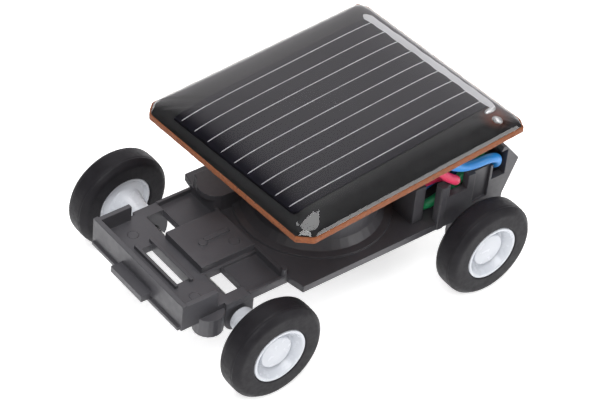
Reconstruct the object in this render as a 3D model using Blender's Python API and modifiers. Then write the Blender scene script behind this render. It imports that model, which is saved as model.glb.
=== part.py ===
"""Miniature solar-powered car: a moulded chassis on four small wheels, a pancake motor in a
round drum, a geared rear axle, and one solar panel glued on the drum.

Frame: +X is forward, +Y is the car's left, +Z is up. The origin is on the ground, under the
middle of the car's length and width. Sizes are written in millimetres and turned into metres.
"""
from math import acos, atan, atan2, cos, hypot, pi, radians, sin, sqrt, tau

import bmesh
import bpy
from mathutils import Matrix, Vector

MM = 0.001

# ---- driving sizes, in millimetres ----
WHEELBASE = 20.45
NOSE_OVERHANG = 6.04          # from the front axle to the tip of the nose tab
TAIL_OVERHANG = 4.85          # from the rear axle to the back of the gearbox
TRACK_OUTER = 22.0            # over the outer faces of the tyres
TYRE_R = 4.05
TYRE_WIDTH = 2.38
TYRE_BORE_R = 2.34
TYRE_SHOULDER = 0.62
AXLE_R = 0.5
RUN = 0.05                    # radial clearance of anything that turns
SEAT = 0.02                   # gap left round a pressed or glued joint
REST = 0.05                   # gap under a piece that only lies on another
OVER = 0.1                    # how far moulded features run into each other
STEP_BACK = 0.01              # keeps two moulded faces from lying in one plane

FRONT_X = (WHEELBASE + TAIL_OVERHANG - NOSE_OVERHANG) / 2
REAR_X = FRONT_X - WHEELBASE
AXLE_Z = TYRE_R
WHEEL_Y = TRACK_OUTER / 2 - TYRE_WIDTH / 2

# ---- chassis plate ----
PLATE_T = 0.6
PLATE_Z0 = AXLE_Z + 1.2
PLATE_Z1 = PLATE_Z0 + PLATE_T
PLATE_HALF = 7.5              # half the width beside the drum
NECK_HALF = 6.0               # half the width over the front axle
NECK_BACK_X = FRONT_X - 4.35
NECK_TAPER = 0.3
WALL = 0.6                    # gearbox walls

# ---- front tray ----
TRAY_X1 = FRONT_X + 5.1
TRAY_X0 = FRONT_X + 1.3
TRAY_SIDE_X0 = FRONT_X + 1.9
TRAY_HALF = 5.7
TRAY_WALL = 0.38
TRAY_SKIRT = 0.3              # how far the tray walls hang below the plate
TRAY_TOP = PLATE_Z0 + 2.05
TRAY_SIDE_DROP = 0.12         # the side walls are this much lower than the front one
LIP_REACH = 0.22
LIP_HEIGHT = 0.3
SLOT_X0 = FRONT_X + 2.14
SLOT_X1 = FRONT_X + 3.25
SLOT_HALF = 2.24
RIM = 0.25                    # width of the small raised rims
RIM_RISE = 0.3
RIM_END = 0.4                 # how far the slot's rims run past its ends
TAB_HALF = 1.96
TAB_T = 0.55
PAD_X0 = FRONT_X - 4.0
PAD_X1 = FRONT_X + 0.9
PAD_HALF = 2.3
PAD_TOP = PLATE_Z1 + 0.6
PAD_RIB_HALF = 0.18
GATE_X = FRONT_X - 0.74       # the mark the mould's gate leaves on the pad
GATE_Y = 0.15
GATE_R = 0.34
POCKET_X1 = FRONT_X - 0.85
POCKET_DEPTH = 0.3
AXLE_SLOT_BACK = 0.8
AXLE_SLOT_FRONT = 0.75
LUG_R = 1.3
FRONT_LUG_Y0 = 5.0
FRONT_LUG_Y1 = 5.9
FOOT_R = 1.19                 # round feet under the tray
FOOT_X = FRONT_X + 2.4
FOOT_Y = 5.35
FOOT_BOTTOM = AXLE_Z - 0.3
POST_R = 0.27                 # the short post at the corner of the left pocket
POST_RISE = 0.75
SIDE_BLOCK_R = 1.5            # round nose of the raised block beside the drum
SIDE_BLOCK_X = FRONT_X - 4.9
SIDE_BLOCK_Y = -4.0
SIDE_BLOCK_EDGE = -5.75
SIDE_BLOCK_CORNER = 0.75
SIDE_BLOCK_H = 1.5

# ---- gear train; tooth sizes go with the module ----
MODULE = 0.25
PINION_TEETH = 8
IDLER_TEETH = 26
CLUSTER_TEETH = 18
CROWN_TEETH = 20
ADDENDUM = 0.88 * MODULE
DEDENDUM = 1.16 * MODULE
TOOTH_ROOT_HALF = 0.68 * MODULE
TOOTH_TIP_HALF = 0.32 * MODULE
PINION_R = MODULE * PINION_TEETH / 2
IDLER_R = MODULE * IDLER_TEETH / 2
CLUSTER_R = MODULE * CLUSTER_TEETH / 2
CROWN_R = MODULE * CROWN_TEETH / 2
CROWN_OUTER = CROWN_R + 1.6 * MODULE
CROWN_INNER = CROWN_R - 2 * MODULE
CROWN_FACE_Y = PINION_R + ADDENDUM + 0.08     # where the crown wheel's web starts
CROWN_TOOTH_Y = PINION_R - 0.18               # and where its teeth end
CROWN_WEB = 0.5
CROWN_BOSS_R = 1.05
CROWN_BOSS = 1.2
CROWN_GAP = 2.16 * MODULE                     # width of the gaps between its teeth
CROWN_GAP_LENGTH = 5.8 * MODULE
GEAR_ROOM = 0.2                               # free space kept round a turning gear
SPUR_Z0 = AXLE_Z + CROWN_OUTER + GEAR_ROOM
SPUR_T = 0.6
SPUR_TOP = SPUR_Z0 + SPUR_T
PIN_R = 0.3
SHAFT_R = 0.25
MOTOR_TO_IDLER = PINION_R + IDLER_R
IDLER_TO_CLUSTER = IDLER_R + CLUSTER_R
TRAIN_BEND = 0.08             # the three shafts are this much short of a straight line
MOTOR_SPAN = MOTOR_TO_IDLER + IDLER_TO_CLUSTER - TRAIN_BEND

# ---- motor drum ----
DRUM_Y = 0.6
DRUM_X = REAR_X + sqrt(MOTOR_SPAN ** 2 - DRUM_Y ** 2)
DRUM_R = 5.1
DRUM_WALL = 0.5
STEP_R = DRUM_R + 1.05        # low ring round the drum's foot
STEP_H = 0.2
FILLET_R = DRUM_R + 0.45      # cone between the ring and the drum
FILLET_H = 0.9

# ---- panel ----
BOARD_LENGTH = 21.76
BOARD_WIDTH = 19.33
BOARD_T = 0.5
FRONT_CHAMFER = (1.0, 0.96)   # along the board, and across it
REAR_CHAMFER = (0.42, 0.85)
BOARD_X = DRUM_X - 1.64       # middle of the board's underside
BOARD_Y = 0.18
BOARD_Z = AXLE_Z + 9.07
PITCH = radians(2.8)          # the panel leans forward,
ROLL = radians(1.95)          # and towards the car's right,
YAW = radians(1.66)           # and is turned a little towards its left
DOME_HEIGHT = 1.35
DOME_INSET = 0.12
DOME_SHOULDER = 1.6           # how far in the rounded edge of the epoxy reaches
DOME_STEPS = 6
DOME_SWEEP = 0.47 * pi        # the shoulder stops just short of level
CELL_LENGTH = BOARD_LENGTH - 2.5
CELL_WIDTH = 13.8
CELL_T = 0.25
CELL_X = -0.14                # the cell is laid down by hand, not quite in the middle
CELL_Y = 0.14
CELL_TURN = radians(2.0)      # nor quite square
FINGERS = 9
FINGER_PITCH = 1.5
FINGER_WIDTH = 0.12
FINGER_T = 0.04
BUSBAR_WIDTH = 0.7
BUSBAR_MARGIN = 0.15          # bare cell behind the busbar
BUSBAR_END = 0.3              # and past each end of it
LINK_R = 0.3                  # solder beads that join the cell to the board
LINK_H = 0.26
GLUE_T = 0.25
SOLDER_R = 0.62
SOLDER_FLARE = 0.15
SOLDER_H = 0.35
SOLDER_SPOTS = {"red": (-4.62, 5.63), "blue": (-3.52, 7.33), "green": (-7.12, 4.73)}
WIRE_R = 0.4
WIRE_STEP = 0.9
WIRE_DROP = 0.7               # a wire leaves its joint straight down for this far

# ---- gearbox ----
BOX_FRONT_X = REAR_X + 2.95
BOX_BACK_X = REAR_X - 3.65
BOX_TOP = AXLE_Z + 5.4
TAIL_STEP_X = REAR_X - 2.45   # where the walls step up to the raised tail
TAIL_TOP_X1 = REAR_X - 3.05
TAIL_TOP_X0 = REAR_X - 3.35
TAIL_RISE = 1.4
TAIL_CORNER_Z = AXLE_Z + 5.0
TAIL_FOOT_Z = AXLE_Z + 1.95
TAIL_SPACE_X = REAR_X - 2.6
TAIL_SPACE_Z = BOX_TOP + 1.0
COVER_T = 0.45
COVER_Z0 = SPUR_TOP + 0.85
COVER_X0 = REAR_X - 2.34
COVER_X1 = BOX_FRONT_X - 0.65
COVER_Y1 = 3.7
COVER_LEG = 0.5
LEDGE = 0.5                   # the ledge that carries the cover's far edge
BLOCK_Y0 = 4.2
BLOCK_Y1 = 6.5
BLOCK_H = 3.4
BLOCK_LENGTH = 1.0
BLOCK_X1 = DRUM_X - sqrt(STEP_R ** 2 - (BLOCK_Y0 - DRUM_Y) ** 2) - REST
BLOCK_X0 = BLOCK_X1 - BLOCK_LENGTH

# ---- motor ----
CAN_R = DRUM_R - DRUM_WALL - REST
CAN_Z0 = SPUR_TOP + 0.35
CAN_WALL = 0.25
MAGNET_T = 0.75
BUSH_R = 0.7
BUSH_H = CAN_WALL + 0.1
CAP_Z0 = BOARD_Z - 1.72
CAP_T = 0.4
CORE_T = 0.3
ROTOR_R = CAN_R - CAN_WALL - SEAT - MAGNET_T - GEAR_ROOM
COMMUTATOR_R = 0.62
ROTOR_HUB_R = COMMUTATOR_R - 0.07
COIL_GAP = 0.21               # between a coil and both the hub and the rotor's rim
COIL_R = (ROTOR_R - ROTOR_HUB_R) / 2 - COIL_GAP
COIL_BORE_R = 0.45
BRUSH_HALF = 0.3
BRUSH_END = 2.4

TRIM_SIDES = 20
PIN_SIDES = 16
ROUND_SIDES = 32
DRUM_SIDES = 48


# ---- scene and collections ----

def clear_scene():
    for old in list(bpy.data.objects):
        bpy.data.objects.remove(old, do_unlink=True)


def new_collection(name):
    collection = bpy.data.collections.new(name)
    bpy.context.scene.collection.children.link(collection)
    return collection


clear_scene()
CAR = new_collection("solar_car")
CUTTERS = new_collection("cutters")


# ---- materials ----

def material(name, colour, roughness, metallic=0.0):
    made = bpy.data.materials.new(name)
    made.use_nodes = True
    shader = made.node_tree.nodes["Principled BSDF"]
    shader.inputs["Base Color"].default_value = (*colour, 1.0)
    shader.inputs["Roughness"].default_value = roughness
    shader.inputs["Metallic"].default_value = metallic
    return made


GREY = material("grey_moulding", (0.10, 0.095, 0.105), 0.45)
TYRE = material("tyre_rubber", (0.012, 0.012, 0.013), 0.55)
HUB = material("white_hub", (0.80, 0.80, 0.79), 0.30)
STEEL = material("steel", (0.60, 0.60, 0.58), 0.25, 1.0)
BRASS = material("brass", (0.70, 0.50, 0.22), 0.30, 1.0)
COPPER = material("copper", (0.75, 0.34, 0.18), 0.35, 1.0)
MAGNET = material("ferrite", (0.07, 0.07, 0.075), 0.60)
GEAR = material("gear_plastic", (0.75, 0.74, 0.70), 0.40)
BOARD = material("brown_board", (0.33, 0.13, 0.045), 0.60)
CELL = material("solar_cell", (0.008, 0.010, 0.030), 0.20)
SILVER = material("silver_print", (0.75, 0.75, 0.76), 0.35, 1.0)
EPOXY = material("clear_epoxy", (0.02, 0.02, 0.025), 0.05)
GLUE = material("white_glue", (0.75, 0.75, 0.72), 0.50)
SOLDER = material("solder", (0.65, 0.66, 0.67), 0.25, 1.0)
RED = material("red_wire", (0.70, 0.03, 0.10), 0.40)
BLUE = material("blue_wire", (0.02, 0.25, 0.60), 0.40)
GREEN = material("green_wire", (0.03, 0.35, 0.10), 0.40)


# ---- building blocks ----

def finish(obj, slot=None, smooth=False):
    """Links an object as a part with its material, or as a cutter when it has none."""
    if slot is None:
        CUTTERS.objects.link(obj)
        obj.hide_render = True
        obj.display_type = "WIRE"
    else:
        CAR.objects.link(obj)
        obj.data.materials.append(slot)
    if smooth:
        obj.data.shade_smooth()
        obj.data.set_sharp_from_angle(angle=radians(35))
    return obj


def box(name, xs, ys, zs, slot=None):
    """A block between two values on each axis, in millimetres."""
    low = Vector((min(xs), min(ys), min(zs))) * MM
    high = Vector((max(xs), max(ys), max(zs))) * MM
    bm = bmesh.new()
    place = Matrix.Translation((low + high) / 2) @ Matrix.Diagonal((*(high - low), 1.0))
    bmesh.ops.create_cube(bm, size=1.0, matrix=place)
    mesh = bpy.data.meshes.new(name)
    bm.to_mesh(mesh)
    bm.free()
    return finish(bpy.data.objects.new(name, mesh), slot)


def rod(name, radius, start, end, slot=None, sides=TRIM_SIDES, end_radius=None):
    """A round bar, or a cone, between two points in millimetres; its origin is its start."""
    along = (Vector(end) - Vector(start)) * MM
    turn = Vector((0, 0, 1)).rotation_difference(along).to_matrix().to_4x4()
    bm = bmesh.new()
    bmesh.ops.create_cone(
        bm, cap_ends=True, segments=sides, depth=along.length,
        radius1=radius * MM, radius2=(end_radius or radius) * MM,
        matrix=Matrix.Translation(along / 2) @ turn)
    mesh = bpy.data.meshes.new(name)
    bm.to_mesh(mesh)
    bm.free()
    obj = bpy.data.objects.new(name, mesh)
    obj.location = Vector(start) * MM
    return finish(obj, slot, smooth=slot is not None)


def turned(name, profile, slot=None, closed=False, sides=ROUND_SIDES,
           place=(0, 0, 0), turn=(0, 0, 0)):
    """A turned shape: (radius, height) points, down the outer side, spun about local Z."""
    points = [(r * MM, 0.0, z * MM) for r, z in profile]
    edges = [(i, i + 1) for i in range(len(points) - 1)]
    if closed:
        edges.append((len(points) - 1, 0))
    mesh = bpy.data.meshes.new(name)
    mesh.from_pydata(points, edges, [])
    obj = bpy.data.objects.new(name, mesh)
    screw = obj.modifiers.new("spin", "SCREW")
    screw.axis = "Z"
    screw.angle = tau
    screw.steps = sides
    screw.render_steps = sides
    screw.use_merge_vertices = True
    screw.merge_threshold = 1e-6
    screw.use_smooth_shade = False
    obj.location = Vector(place) * MM
    obj.rotation_euler = turn
    return finish(obj, slot)


def as_mesh(obj, name, slot=None):
    """A curve made a mesh, its loose caps welded, ready for a Boolean."""
    bpy.context.view_layer.update()
    view = bpy.context.evaluated_depsgraph_get()
    mesh = bpy.data.meshes.new_from_object(obj.evaluated_get(view))
    place = obj.matrix_world.copy()
    bpy.data.objects.remove(obj, do_unlink=True)
    bm = bmesh.new()
    bm.from_mesh(mesh)
    bmesh.ops.remove_doubles(bm, verts=bm.verts, dist=1e-7)
    bm.to_mesh(mesh)
    bm.free()
    mesh.materials.clear()
    made = bpy.data.objects.new(name, mesh)
    made.matrix_world = place
    return finish(made, slot)


def extruded(name, outlines, low, high, slot=None, plane="XY", at=(0, 0)):
    """A flat outline, with holes, thickened from low to high across its plane (XY, or XZ)."""
    curve = bpy.data.curves.new(name, "CURVE")
    curve.dimensions = "2D"
    curve.fill_mode = "BOTH"
    curve.extrude = (high - low) / 2 * MM
    for outline in outlines:
        spline = curve.splines.new("POLY")
        spline.points.add(len(outline) - 1)
        for point, (a, b) in zip(spline.points, outline):
            point.co = (a * MM, b * MM, 0.0, 1.0)
        spline.use_cyclic_u = True
    obj = bpy.data.objects.new(name + "_outline", curve)
    bpy.context.scene.collection.objects.link(obj)
    middle = (low + high) / 2
    if plane == "XY":
        obj.location = Vector((at[0], at[1], middle)) * MM
    else:
        obj.location = Vector((at[0], middle, at[1])) * MM
        obj.rotation_euler = (pi / 2, 0, 0)
    return as_mesh(obj, name, slot)


def boolean(target, others, kind):
    for other in others:
        step = target.modifiers.new(other.name, "BOOLEAN")
        step.operation = kind
        step.solver = "EXACT"
        step.object = other
    return target


def unite(target, *others):
    return boolean(target, others, "UNION")


def cut(target, *others):
    return boolean(target, others, "DIFFERENCE")


def circle(radius, sides):
    return [(radius * cos(tau * i / sides), radius * sin(tau * i / sides)) for i in range(sides)]


# ---- chassis ----

def plate_outline():
    left = [
        (TRAY_X1, TRAY_HALF), (TRAY_X0, TRAY_HALF), (TRAY_X0, NECK_HALF),
        (NECK_BACK_X, NECK_HALF), (NECK_BACK_X - NECK_TAPER, PLATE_HALF), (BOX_BACK_X, PLATE_HALF)]
    return left + [(x, -y) for x, y in reversed(left)]


def gearbox_profile():
    """The gearbox seen from its side, as (x, z): an upright front, a step up to a raised tail."""
    return [
        (BOX_FRONT_X, PLATE_Z0), (BOX_FRONT_X, BOX_TOP), (TAIL_STEP_X, BOX_TOP),
        (TAIL_TOP_X1, BOX_TOP + TAIL_RISE), (TAIL_TOP_X0, BOX_TOP + TAIL_RISE),
        (REAR_X - TAIL_OVERHANG, TAIL_CORNER_Z), (BOX_BACK_X, TAIL_FOOT_Z), (BOX_BACK_X, PLATE_Z0)]


def gearbox_inside():
    """The space inside the gearbox, open at the front and the top."""
    front = BOX_FRONT_X + 1.0
    sky = BOX_TOP + TAIL_RISE + 1.0
    return [
        (front, PLATE_Z1), (front, sky), (TAIL_SPACE_X, sky), (TAIL_SPACE_X, TAIL_SPACE_Z),
        (REAR_X - TAIL_OVERHANG + 1.25 * WALL, TAIL_CORNER_Z - OVER),
        (BOX_BACK_X + WALL, TAIL_FOOT_Z + REST), (BOX_BACK_X + WALL, PLATE_Z1)]


def axle_lug(name, x, y0, y1):
    """A lug that hangs from the plate and carries an axle: a half round under a block."""
    block = box(name + "_block", (x - LUG_R, x + LUG_R), (y0, y1), (AXLE_Z, PLATE_Z0 + OVER))
    end = rod(name + "_round", LUG_R, (x, y0, AXLE_Z), (x, y1, AXLE_Z))
    return unite(block, end)


def tray_features():
    skirt = PLATE_Z0 - TRAY_SKIRT
    rim_ys = (-SLOT_HALF - RIM_END, SLOT_HALF + RIM_END)
    rim_zs = (PLATE_Z0 + REST, PLATE_Z1 + RIM_RISE)
    tab_z0 = PLATE_Z0 + REST + STEP_BACK
    pieces = [
        box("tray_front", (TRAY_X1 - TRAY_WALL, TRAY_X1 + STEP_BACK), (-TRAY_HALF, TRAY_HALF),
            (skirt, TRAY_TOP)),
        box("tray_lip", (TRAY_X1 - OVER, TRAY_X1 + LIP_REACH), (2 * OVER - TRAY_HALF, TRAY_HALF - 2 * OVER),
            (skirt + STEP_BACK, skirt + LIP_HEIGHT)),
        box("nose_tab", (TRAY_X1 - OVER, FRONT_X + NOSE_OVERHANG), (-TAB_HALF, TAB_HALF),
            (tab_z0, tab_z0 + TAB_T)),
        box("slot_rim_front", (SLOT_X1, SLOT_X1 + RIM), rim_ys, rim_zs),
        box("slot_rim_back", (SLOT_X0 - RIM, SLOT_X0), rim_ys, rim_zs)]
    for side, name in ((1, "left"), (-1, "right")):
        wall_ys = [side * (y + STEP_BACK) for y in (TRAY_HALF - TRAY_WALL, TRAY_HALF)]
        pieces.append(box("tray_side_" + name, (TRAY_SIDE_X0, TRAY_X1 - STEP_BACK), wall_ys,
                          (skirt + 2 * STEP_BACK, TRAY_TOP - TRAY_SIDE_DROP)))
        pieces.append(rod("tray_foot_" + name, FOOT_R, (FOOT_X, side * FOOT_Y, FOOT_BOTTOM),
                          (FOOT_X, side * FOOT_Y, PLATE_Z0 + OVER)))
    return pieces


def side_block_outline():
    """A block beside the drum with a round nose and a straight outer edge."""
    nose = [(SIDE_BLOCK_X + SIDE_BLOCK_R * cos(a * pi / 10), SIDE_BLOCK_Y + SIDE_BLOCK_R * sin(a * pi / 10))
            for a in range(-3, 6)]
    return nose + [(DRUM_X, SIDE_BLOCK_Y + SIDE_BLOCK_R), (DRUM_X, SIDE_BLOCK_EDGE),
                   (SIDE_BLOCK_X + SIDE_BLOCK_CORNER, SIDE_BLOCK_EDGE)]


def neck_features():
    post_x = PAD_X0 - OVER
    post_y = NECK_HALF - RIM_RISE
    pieces = [
        box("pad", (PAD_X0, PAD_X1), (-PAD_HALF, PAD_HALF), (PLATE_Z0 + REST, PAD_TOP)),
        box("pad_rib", (PAD_X0 + 0.8, GATE_X - RIM), (-PAD_RIB_HALF, PAD_RIB_HALF),
            (PAD_TOP - OVER, PAD_TOP + 1.3 * OVER)),
        rod("gate_mark", GATE_R, (GATE_X, GATE_Y, PAD_TOP - OVER), (GATE_X, GATE_Y, PAD_TOP + OVER),
            sides=PIN_SIDES),
        rod("corner_post", POST_R, (post_x, post_y, PLATE_Z0 + OVER), (post_x, post_y, PLATE_Z1 + POST_RISE),
            sides=PIN_SIDES),
        extruded("side_block", [side_block_outline()], PLATE_Z1 - OVER, PLATE_Z1 + SIDE_BLOCK_H)]
    for side, name in ((1, "left"), (-1, "right")):
        pieces.append(box("pocket_rim_" + name, (PAD_X0 - RIM, PAD_X0 + STEP_BACK),
                          (side * (PAD_HALF - OVER), side * (NECK_HALF - 2 * STEP_BACK)),
                          (PLATE_Z0 + OVER - STEP_BACK, PLATE_Z1 + RIM_RISE)))
        pieces.append(box("pocket_edge_" + name, (PAD_X0 - OVER, POCKET_X1),
                          (side * (NECK_HALF - RIM), side * (NECK_HALF - STEP_BACK)),
                          (PLATE_Z0 + OVER + STEP_BACK, PLATE_Z1 + OVER)))
        pieces.append(axle_lug("front_lug_" + name, FRONT_X, side * FRONT_LUG_Y0, side * FRONT_LUG_Y1))
    return pieces


def drum_body():
    top = BOARD_Z + 1.5
    inner = DRUM_R - DRUM_WALL
    return turned("drum", [
        (DRUM_R, top), (DRUM_R, PLATE_Z1 + FILLET_H), (FILLET_R, PLATE_Z1 + STEP_H + REST),
        (STEP_R, PLATE_Z1 + STEP_H), (STEP_R, PLATE_Z1 - OVER), (inner, PLATE_Z1 - OVER), (inner, top)],
        closed=True, sides=DRUM_SIDES, place=(DRUM_X, DRUM_Y, 0))


def panel_matrix(lift):
    """The panel's own frame, raised by so many millimetres along its normal."""
    lean = Matrix.Rotation(PITCH, 4, "Y") @ Matrix.Rotation(ROLL, 4, "X")
    middle = Matrix.Translation(Vector((BOARD_X, BOARD_Y, BOARD_Z)) * MM)
    return middle @ Matrix.Rotation(YAW, 4, "Z") @ lean @ Matrix.Translation((0, 0, lift * MM))


def over_drum():
    """Where the drum's axis meets the board's underside, along and across the board."""
    board = panel_matrix(0.0)
    normal = board.to_3x3() @ Vector((0, 0, 1))
    run = Vector((DRUM_X - BOARD_X, DRUM_Y - BOARD_Y, 0))
    run.z = -normal.dot(run) / normal.z
    spot = board.to_3x3().transposed() @ run
    return spot.x, spot.y


def idler_place():
    """Where the idler meshes with both: the third corner of a triangle with known sides."""
    dx = REAR_X - DRUM_X
    dy = -DRUM_Y
    share = ((MOTOR_TO_IDLER ** 2 + MOTOR_SPAN ** 2 - IDLER_TO_CLUSTER ** 2)
             / (2 * MOTOR_TO_IDLER * MOTOR_SPAN))
    angle = atan2(dy, dx) + acos(share)
    return DRUM_X + MOTOR_TO_IDLER * cos(angle), DRUM_Y + MOTOR_TO_IDLER * sin(angle)


IDLER_X, IDLER_Y = idler_place()


def gearbox_walls():
    """The walls of the gearbox and the small things moulded on them."""
    shell = extruded("gearbox_shell", [gearbox_profile()], -PLATE_HALF - STEP_BACK, PLATE_HALF + STEP_BACK,
                     plane="XZ")
    space = extruded("gearbox_space", [gearbox_inside()], WALL - PLATE_HALF, PLATE_HALF - WALL, plane="XZ")
    cut(shell, space)
    ledge_top = COVER_Z0 - REST
    pieces = [
        shell,
        box("cover_ledge", (COVER_X0 - REST, COVER_X1 + REST),
            (WALL - OVER - PLATE_HALF, WALL + LEDGE - PLATE_HALF), (ledge_top - LEDGE, ledge_top)),
        box("wire_ledge", (REAR_X - 2.2, REAR_X - 0.9),
            (PLATE_HALF - WALL + OVER, PLATE_HALF - WALL - 2 * OVER), (PLATE_Z1 - OVER, PLATE_Z1 + 0.8))]
    for side, name in ((1, "left"), (-1, "right")):
        pieces.append(axle_lug("rear_lug_" + name, REAR_X, side * (PLATE_HALF - WALL), side * PLATE_HALF))
        pieces.append(box("front_rib_" + name, (BOX_FRONT_X - 0.55, BOX_FRONT_X - 3 * STEP_BACK),
                          (side * (PLATE_HALF - WALL / 2), side * (PLATE_HALF + 1.2 * OVER)),
                          (PLATE_Z0 + REST, BOX_TOP - 3 * STEP_BACK)))
    return pieces


def chassis():
    body = extruded("chassis", [plate_outline()], PLATE_Z0, PLATE_Z1, GREY)
    unite(body, *tray_features())
    unite(body, *neck_features())
    unite(body, drum_body())
    unite(body, *gearbox_walls())
    unite(body, rod("idler_boss", 2.5 * PIN_R, (IDLER_X, IDLER_Y, PLATE_Z1 - OVER),
                    (IDLER_X, IDLER_Y, SPUR_Z0 - OVER)))
    return cut(body, *chassis_cutters())


def chassis_cutters():
    below = PLATE_Z0 - 1.0
    notch_ys = (PLATE_HALF - WALL - 0.5, PLATE_HALF + 1)
    crown_reach = CROWN_OUTER + GEAR_ROOM
    pieces = [
        box("tray_slot", (SLOT_X0, SLOT_X1), (-SLOT_HALF, SLOT_HALF), (below, PLATE_Z1 + 1.0)),
        box("crown_slot", (REAR_X - crown_reach, REAR_X + crown_reach),
            (2 * PIN_R, CROWN_FACE_Y + CROWN_WEB + GEAR_ROOM), (below, PLATE_Z1 + 0.5)),
        rod("idler_window", IDLER_R + ADDENDUM + GEAR_ROOM, (IDLER_X, IDLER_Y, SPUR_Z0 - OVER),
            (IDLER_X, IDLER_Y, SPUR_TOP + GEAR_ROOM), sides=DRUM_SIDES),
        rod("idler_pin_hole", PIN_R + SEAT, (IDLER_X, IDLER_Y, PLATE_Z0 + OVER),
            (IDLER_X, IDLER_Y, SPUR_Z0)),
        rod("cluster_pin_hole", PIN_R + SEAT, (REAR_X, 0, PLATE_Z0 - 0.2), (REAR_X, 0, PLATE_Z1 + 0.5)),
        rod("front_bore", AXLE_R + RUN, (FRONT_X, -NECK_HALF - 1, AXLE_Z), (FRONT_X, NECK_HALF + 1, AXLE_Z)),
        rod("rear_bore", AXLE_R + RUN, (REAR_X, -PLATE_HALF - 1, AXLE_Z), (REAR_X, PLATE_HALF + 1, AXLE_Z)),
        box("front_notch", (REAR_X + 0.25, REAR_X + 2.1), notch_ys, (AXLE_Z + 4.15, BOX_TOP + 1)),
        box("back_notch", (REAR_X - 3.55, REAR_X - 2.2), notch_ys, (AXLE_Z + 3.95, AXLE_Z + 6.4)),
        box("post_recess", (REAR_X - 1.95, REAR_X - 0.45), (PLATE_HALF - 0.2, PLATE_HALF + 1),
            (AXLE_Z + 2.4, BOX_TOP + 1))]
    for side, name in ((1, "left"), (-1, "right")):
        inner_y = side * (PAD_HALF + 2 * OVER)
        pieces.append(box("axle_slot_" + name, (FRONT_X - AXLE_SLOT_BACK, FRONT_X + AXLE_SLOT_FRONT),
                          (inner_y, side * FRONT_LUG_Y0), (below, PLATE_Z1 + 1)))
        pieces.append(box("pocket_" + name, (PAD_X0 + STEP_BACK, POCKET_X1),
                          (inner_y, side * (NECK_HALF - RIM)),
                          (PLATE_Z1 - POCKET_DEPTH, PLATE_Z1 + 1)))
    sky = box("panel_plane", (-BOARD_LENGTH, BOARD_LENGTH), (-BOARD_WIDTH, BOARD_WIDTH), (0, 8))
    sky.matrix_world = panel_matrix(-GLUE_T - 2 * REST)
    return pieces + [sky]


# ---- wheels and axles ----

HUB_R = TYRE_BORE_R - 2 * SEAT
REAR_BOSS = WHEEL_Y - PLATE_HALF - 0.14       # how far a hub's inner boss reaches in
FRONT_BOSS = WHEEL_Y - FRONT_LUG_Y1 - 0.2
HUB_FACE = 1.2                # outer face of the rim, from the wheel's middle
HUB_BACK = -1.1
HUB_DISC_R = 1.5              # the centre disc, inside its groove
HUB_DISC = 0.74
HUB_GROOVE = 0.3
HUB_RIM_R = 1.78
HUB_EDGE = 0.08
BOSS_TIP_R = AXLE_R + 0.45
AXLE_SEAT = 0.2               # how far the axle's end goes past the wheel's middle


def tyre_profile():
    half = TYRE_WIDTH / 2
    round_r = TYRE_SHOULDER
    shoulder = [(TYRE_R - round_r + round_r * sin(a), half - round_r + round_r * cos(a))
                for a in (0, pi / 6, pi / 3, pi / 2)]
    upper = [(TYRE_BORE_R, half)] + shoulder
    return upper + [(r, -z) for r, z in reversed(upper)]


def hub_profile(boss):
    """A hub from its outer face inwards: a sunk centre disc, a rim, then the boss round the axle."""
    bore = AXLE_R + SEAT
    return [
        (0.0, HUB_DISC), (HUB_DISC_R - HUB_EDGE, HUB_DISC), (HUB_DISC_R, HUB_DISC - HUB_EDGE),
        (HUB_DISC_R, HUB_GROOVE), (HUB_RIM_R, HUB_GROOVE), (HUB_RIM_R, HUB_FACE - HUB_EDGE),
        (HUB_RIM_R + HUB_EDGE, HUB_FACE), (HUB_R - HUB_EDGE, HUB_FACE), (HUB_R, HUB_FACE - HUB_EDGE),
        (HUB_R, HUB_BACK), (HUB_DISC_R, HUB_BACK), (BOSS_TIP_R, -boss),
        (bore, -boss), (bore, AXLE_SEAT + 2 * SEAT), (0.0, AXLE_SEAT + 2 * SEAT)]


def wheel(end, side, x, boss):
    """One hub and its tyre. The local axis points out of the car."""
    place = (x, side * WHEEL_Y, AXLE_Z)
    turn = (-side * pi / 2, 0, 0)
    name = end + ("_left" if side > 0 else "_right")
    turned("hub_" + name, hub_profile(boss), HUB, sides=TRIM_SIDES, place=place, turn=turn)
    turned("tyre_" + name, tyre_profile(), TYRE, closed=True, sides=ROUND_SIDES, place=place, turn=turn)


def axle(name, x):
    reach = WHEEL_Y + AXLE_SEAT
    return rod(name, AXLE_R, (x, -reach, AXLE_Z), (x, reach, AXLE_Z), STEEL)


# ---- gears ----

def gear_outline(teeth, phase):
    """Straight-sided teeth on a pitch circle; the phase is the angle of the first tooth."""
    pitch_r = MODULE * teeth / 2
    root_r = pitch_r - DEDENDUM
    tip_r = pitch_r + ADDENDUM
    points = []
    for i in range(teeth):
        middle = phase + tau * i / teeth
        for radius, half in ((root_r, -TOOTH_ROOT_HALF), (tip_r, -TOOTH_TIP_HALF),
                             (tip_r, TOOTH_TIP_HALF), (root_r, TOOTH_ROOT_HALF)):
            angle = middle + atan(half / radius)
            points.append((radius * cos(angle), radius * sin(angle)))
    return points


def meshed_phase(teeth, phase, mate_teeth, direction):
    """The phase of a mate that lies in the given direction, so that a tooth faces a gap."""
    here = (direction - phase) * teeth / tau
    there = 0.5 - here
    return direction + pi - there * tau / mate_teeth


CLUSTER_PINION_PHASE = pi / PINION_TEETH      # a gap faces the crown wheel
CLUSTER_PHASE = 0.0
TO_IDLER = atan2(IDLER_Y, IDLER_X - REAR_X)
IDLER_PHASE = meshed_phase(CLUSTER_TEETH, CLUSTER_PHASE, IDLER_TEETH, TO_IDLER)
TO_MOTOR = atan2(DRUM_Y - IDLER_Y, DRUM_X - IDLER_X)
MOTOR_PHASE = meshed_phase(IDLER_TEETH, IDLER_PHASE, PINION_TEETH, TO_MOTOR)


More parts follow.
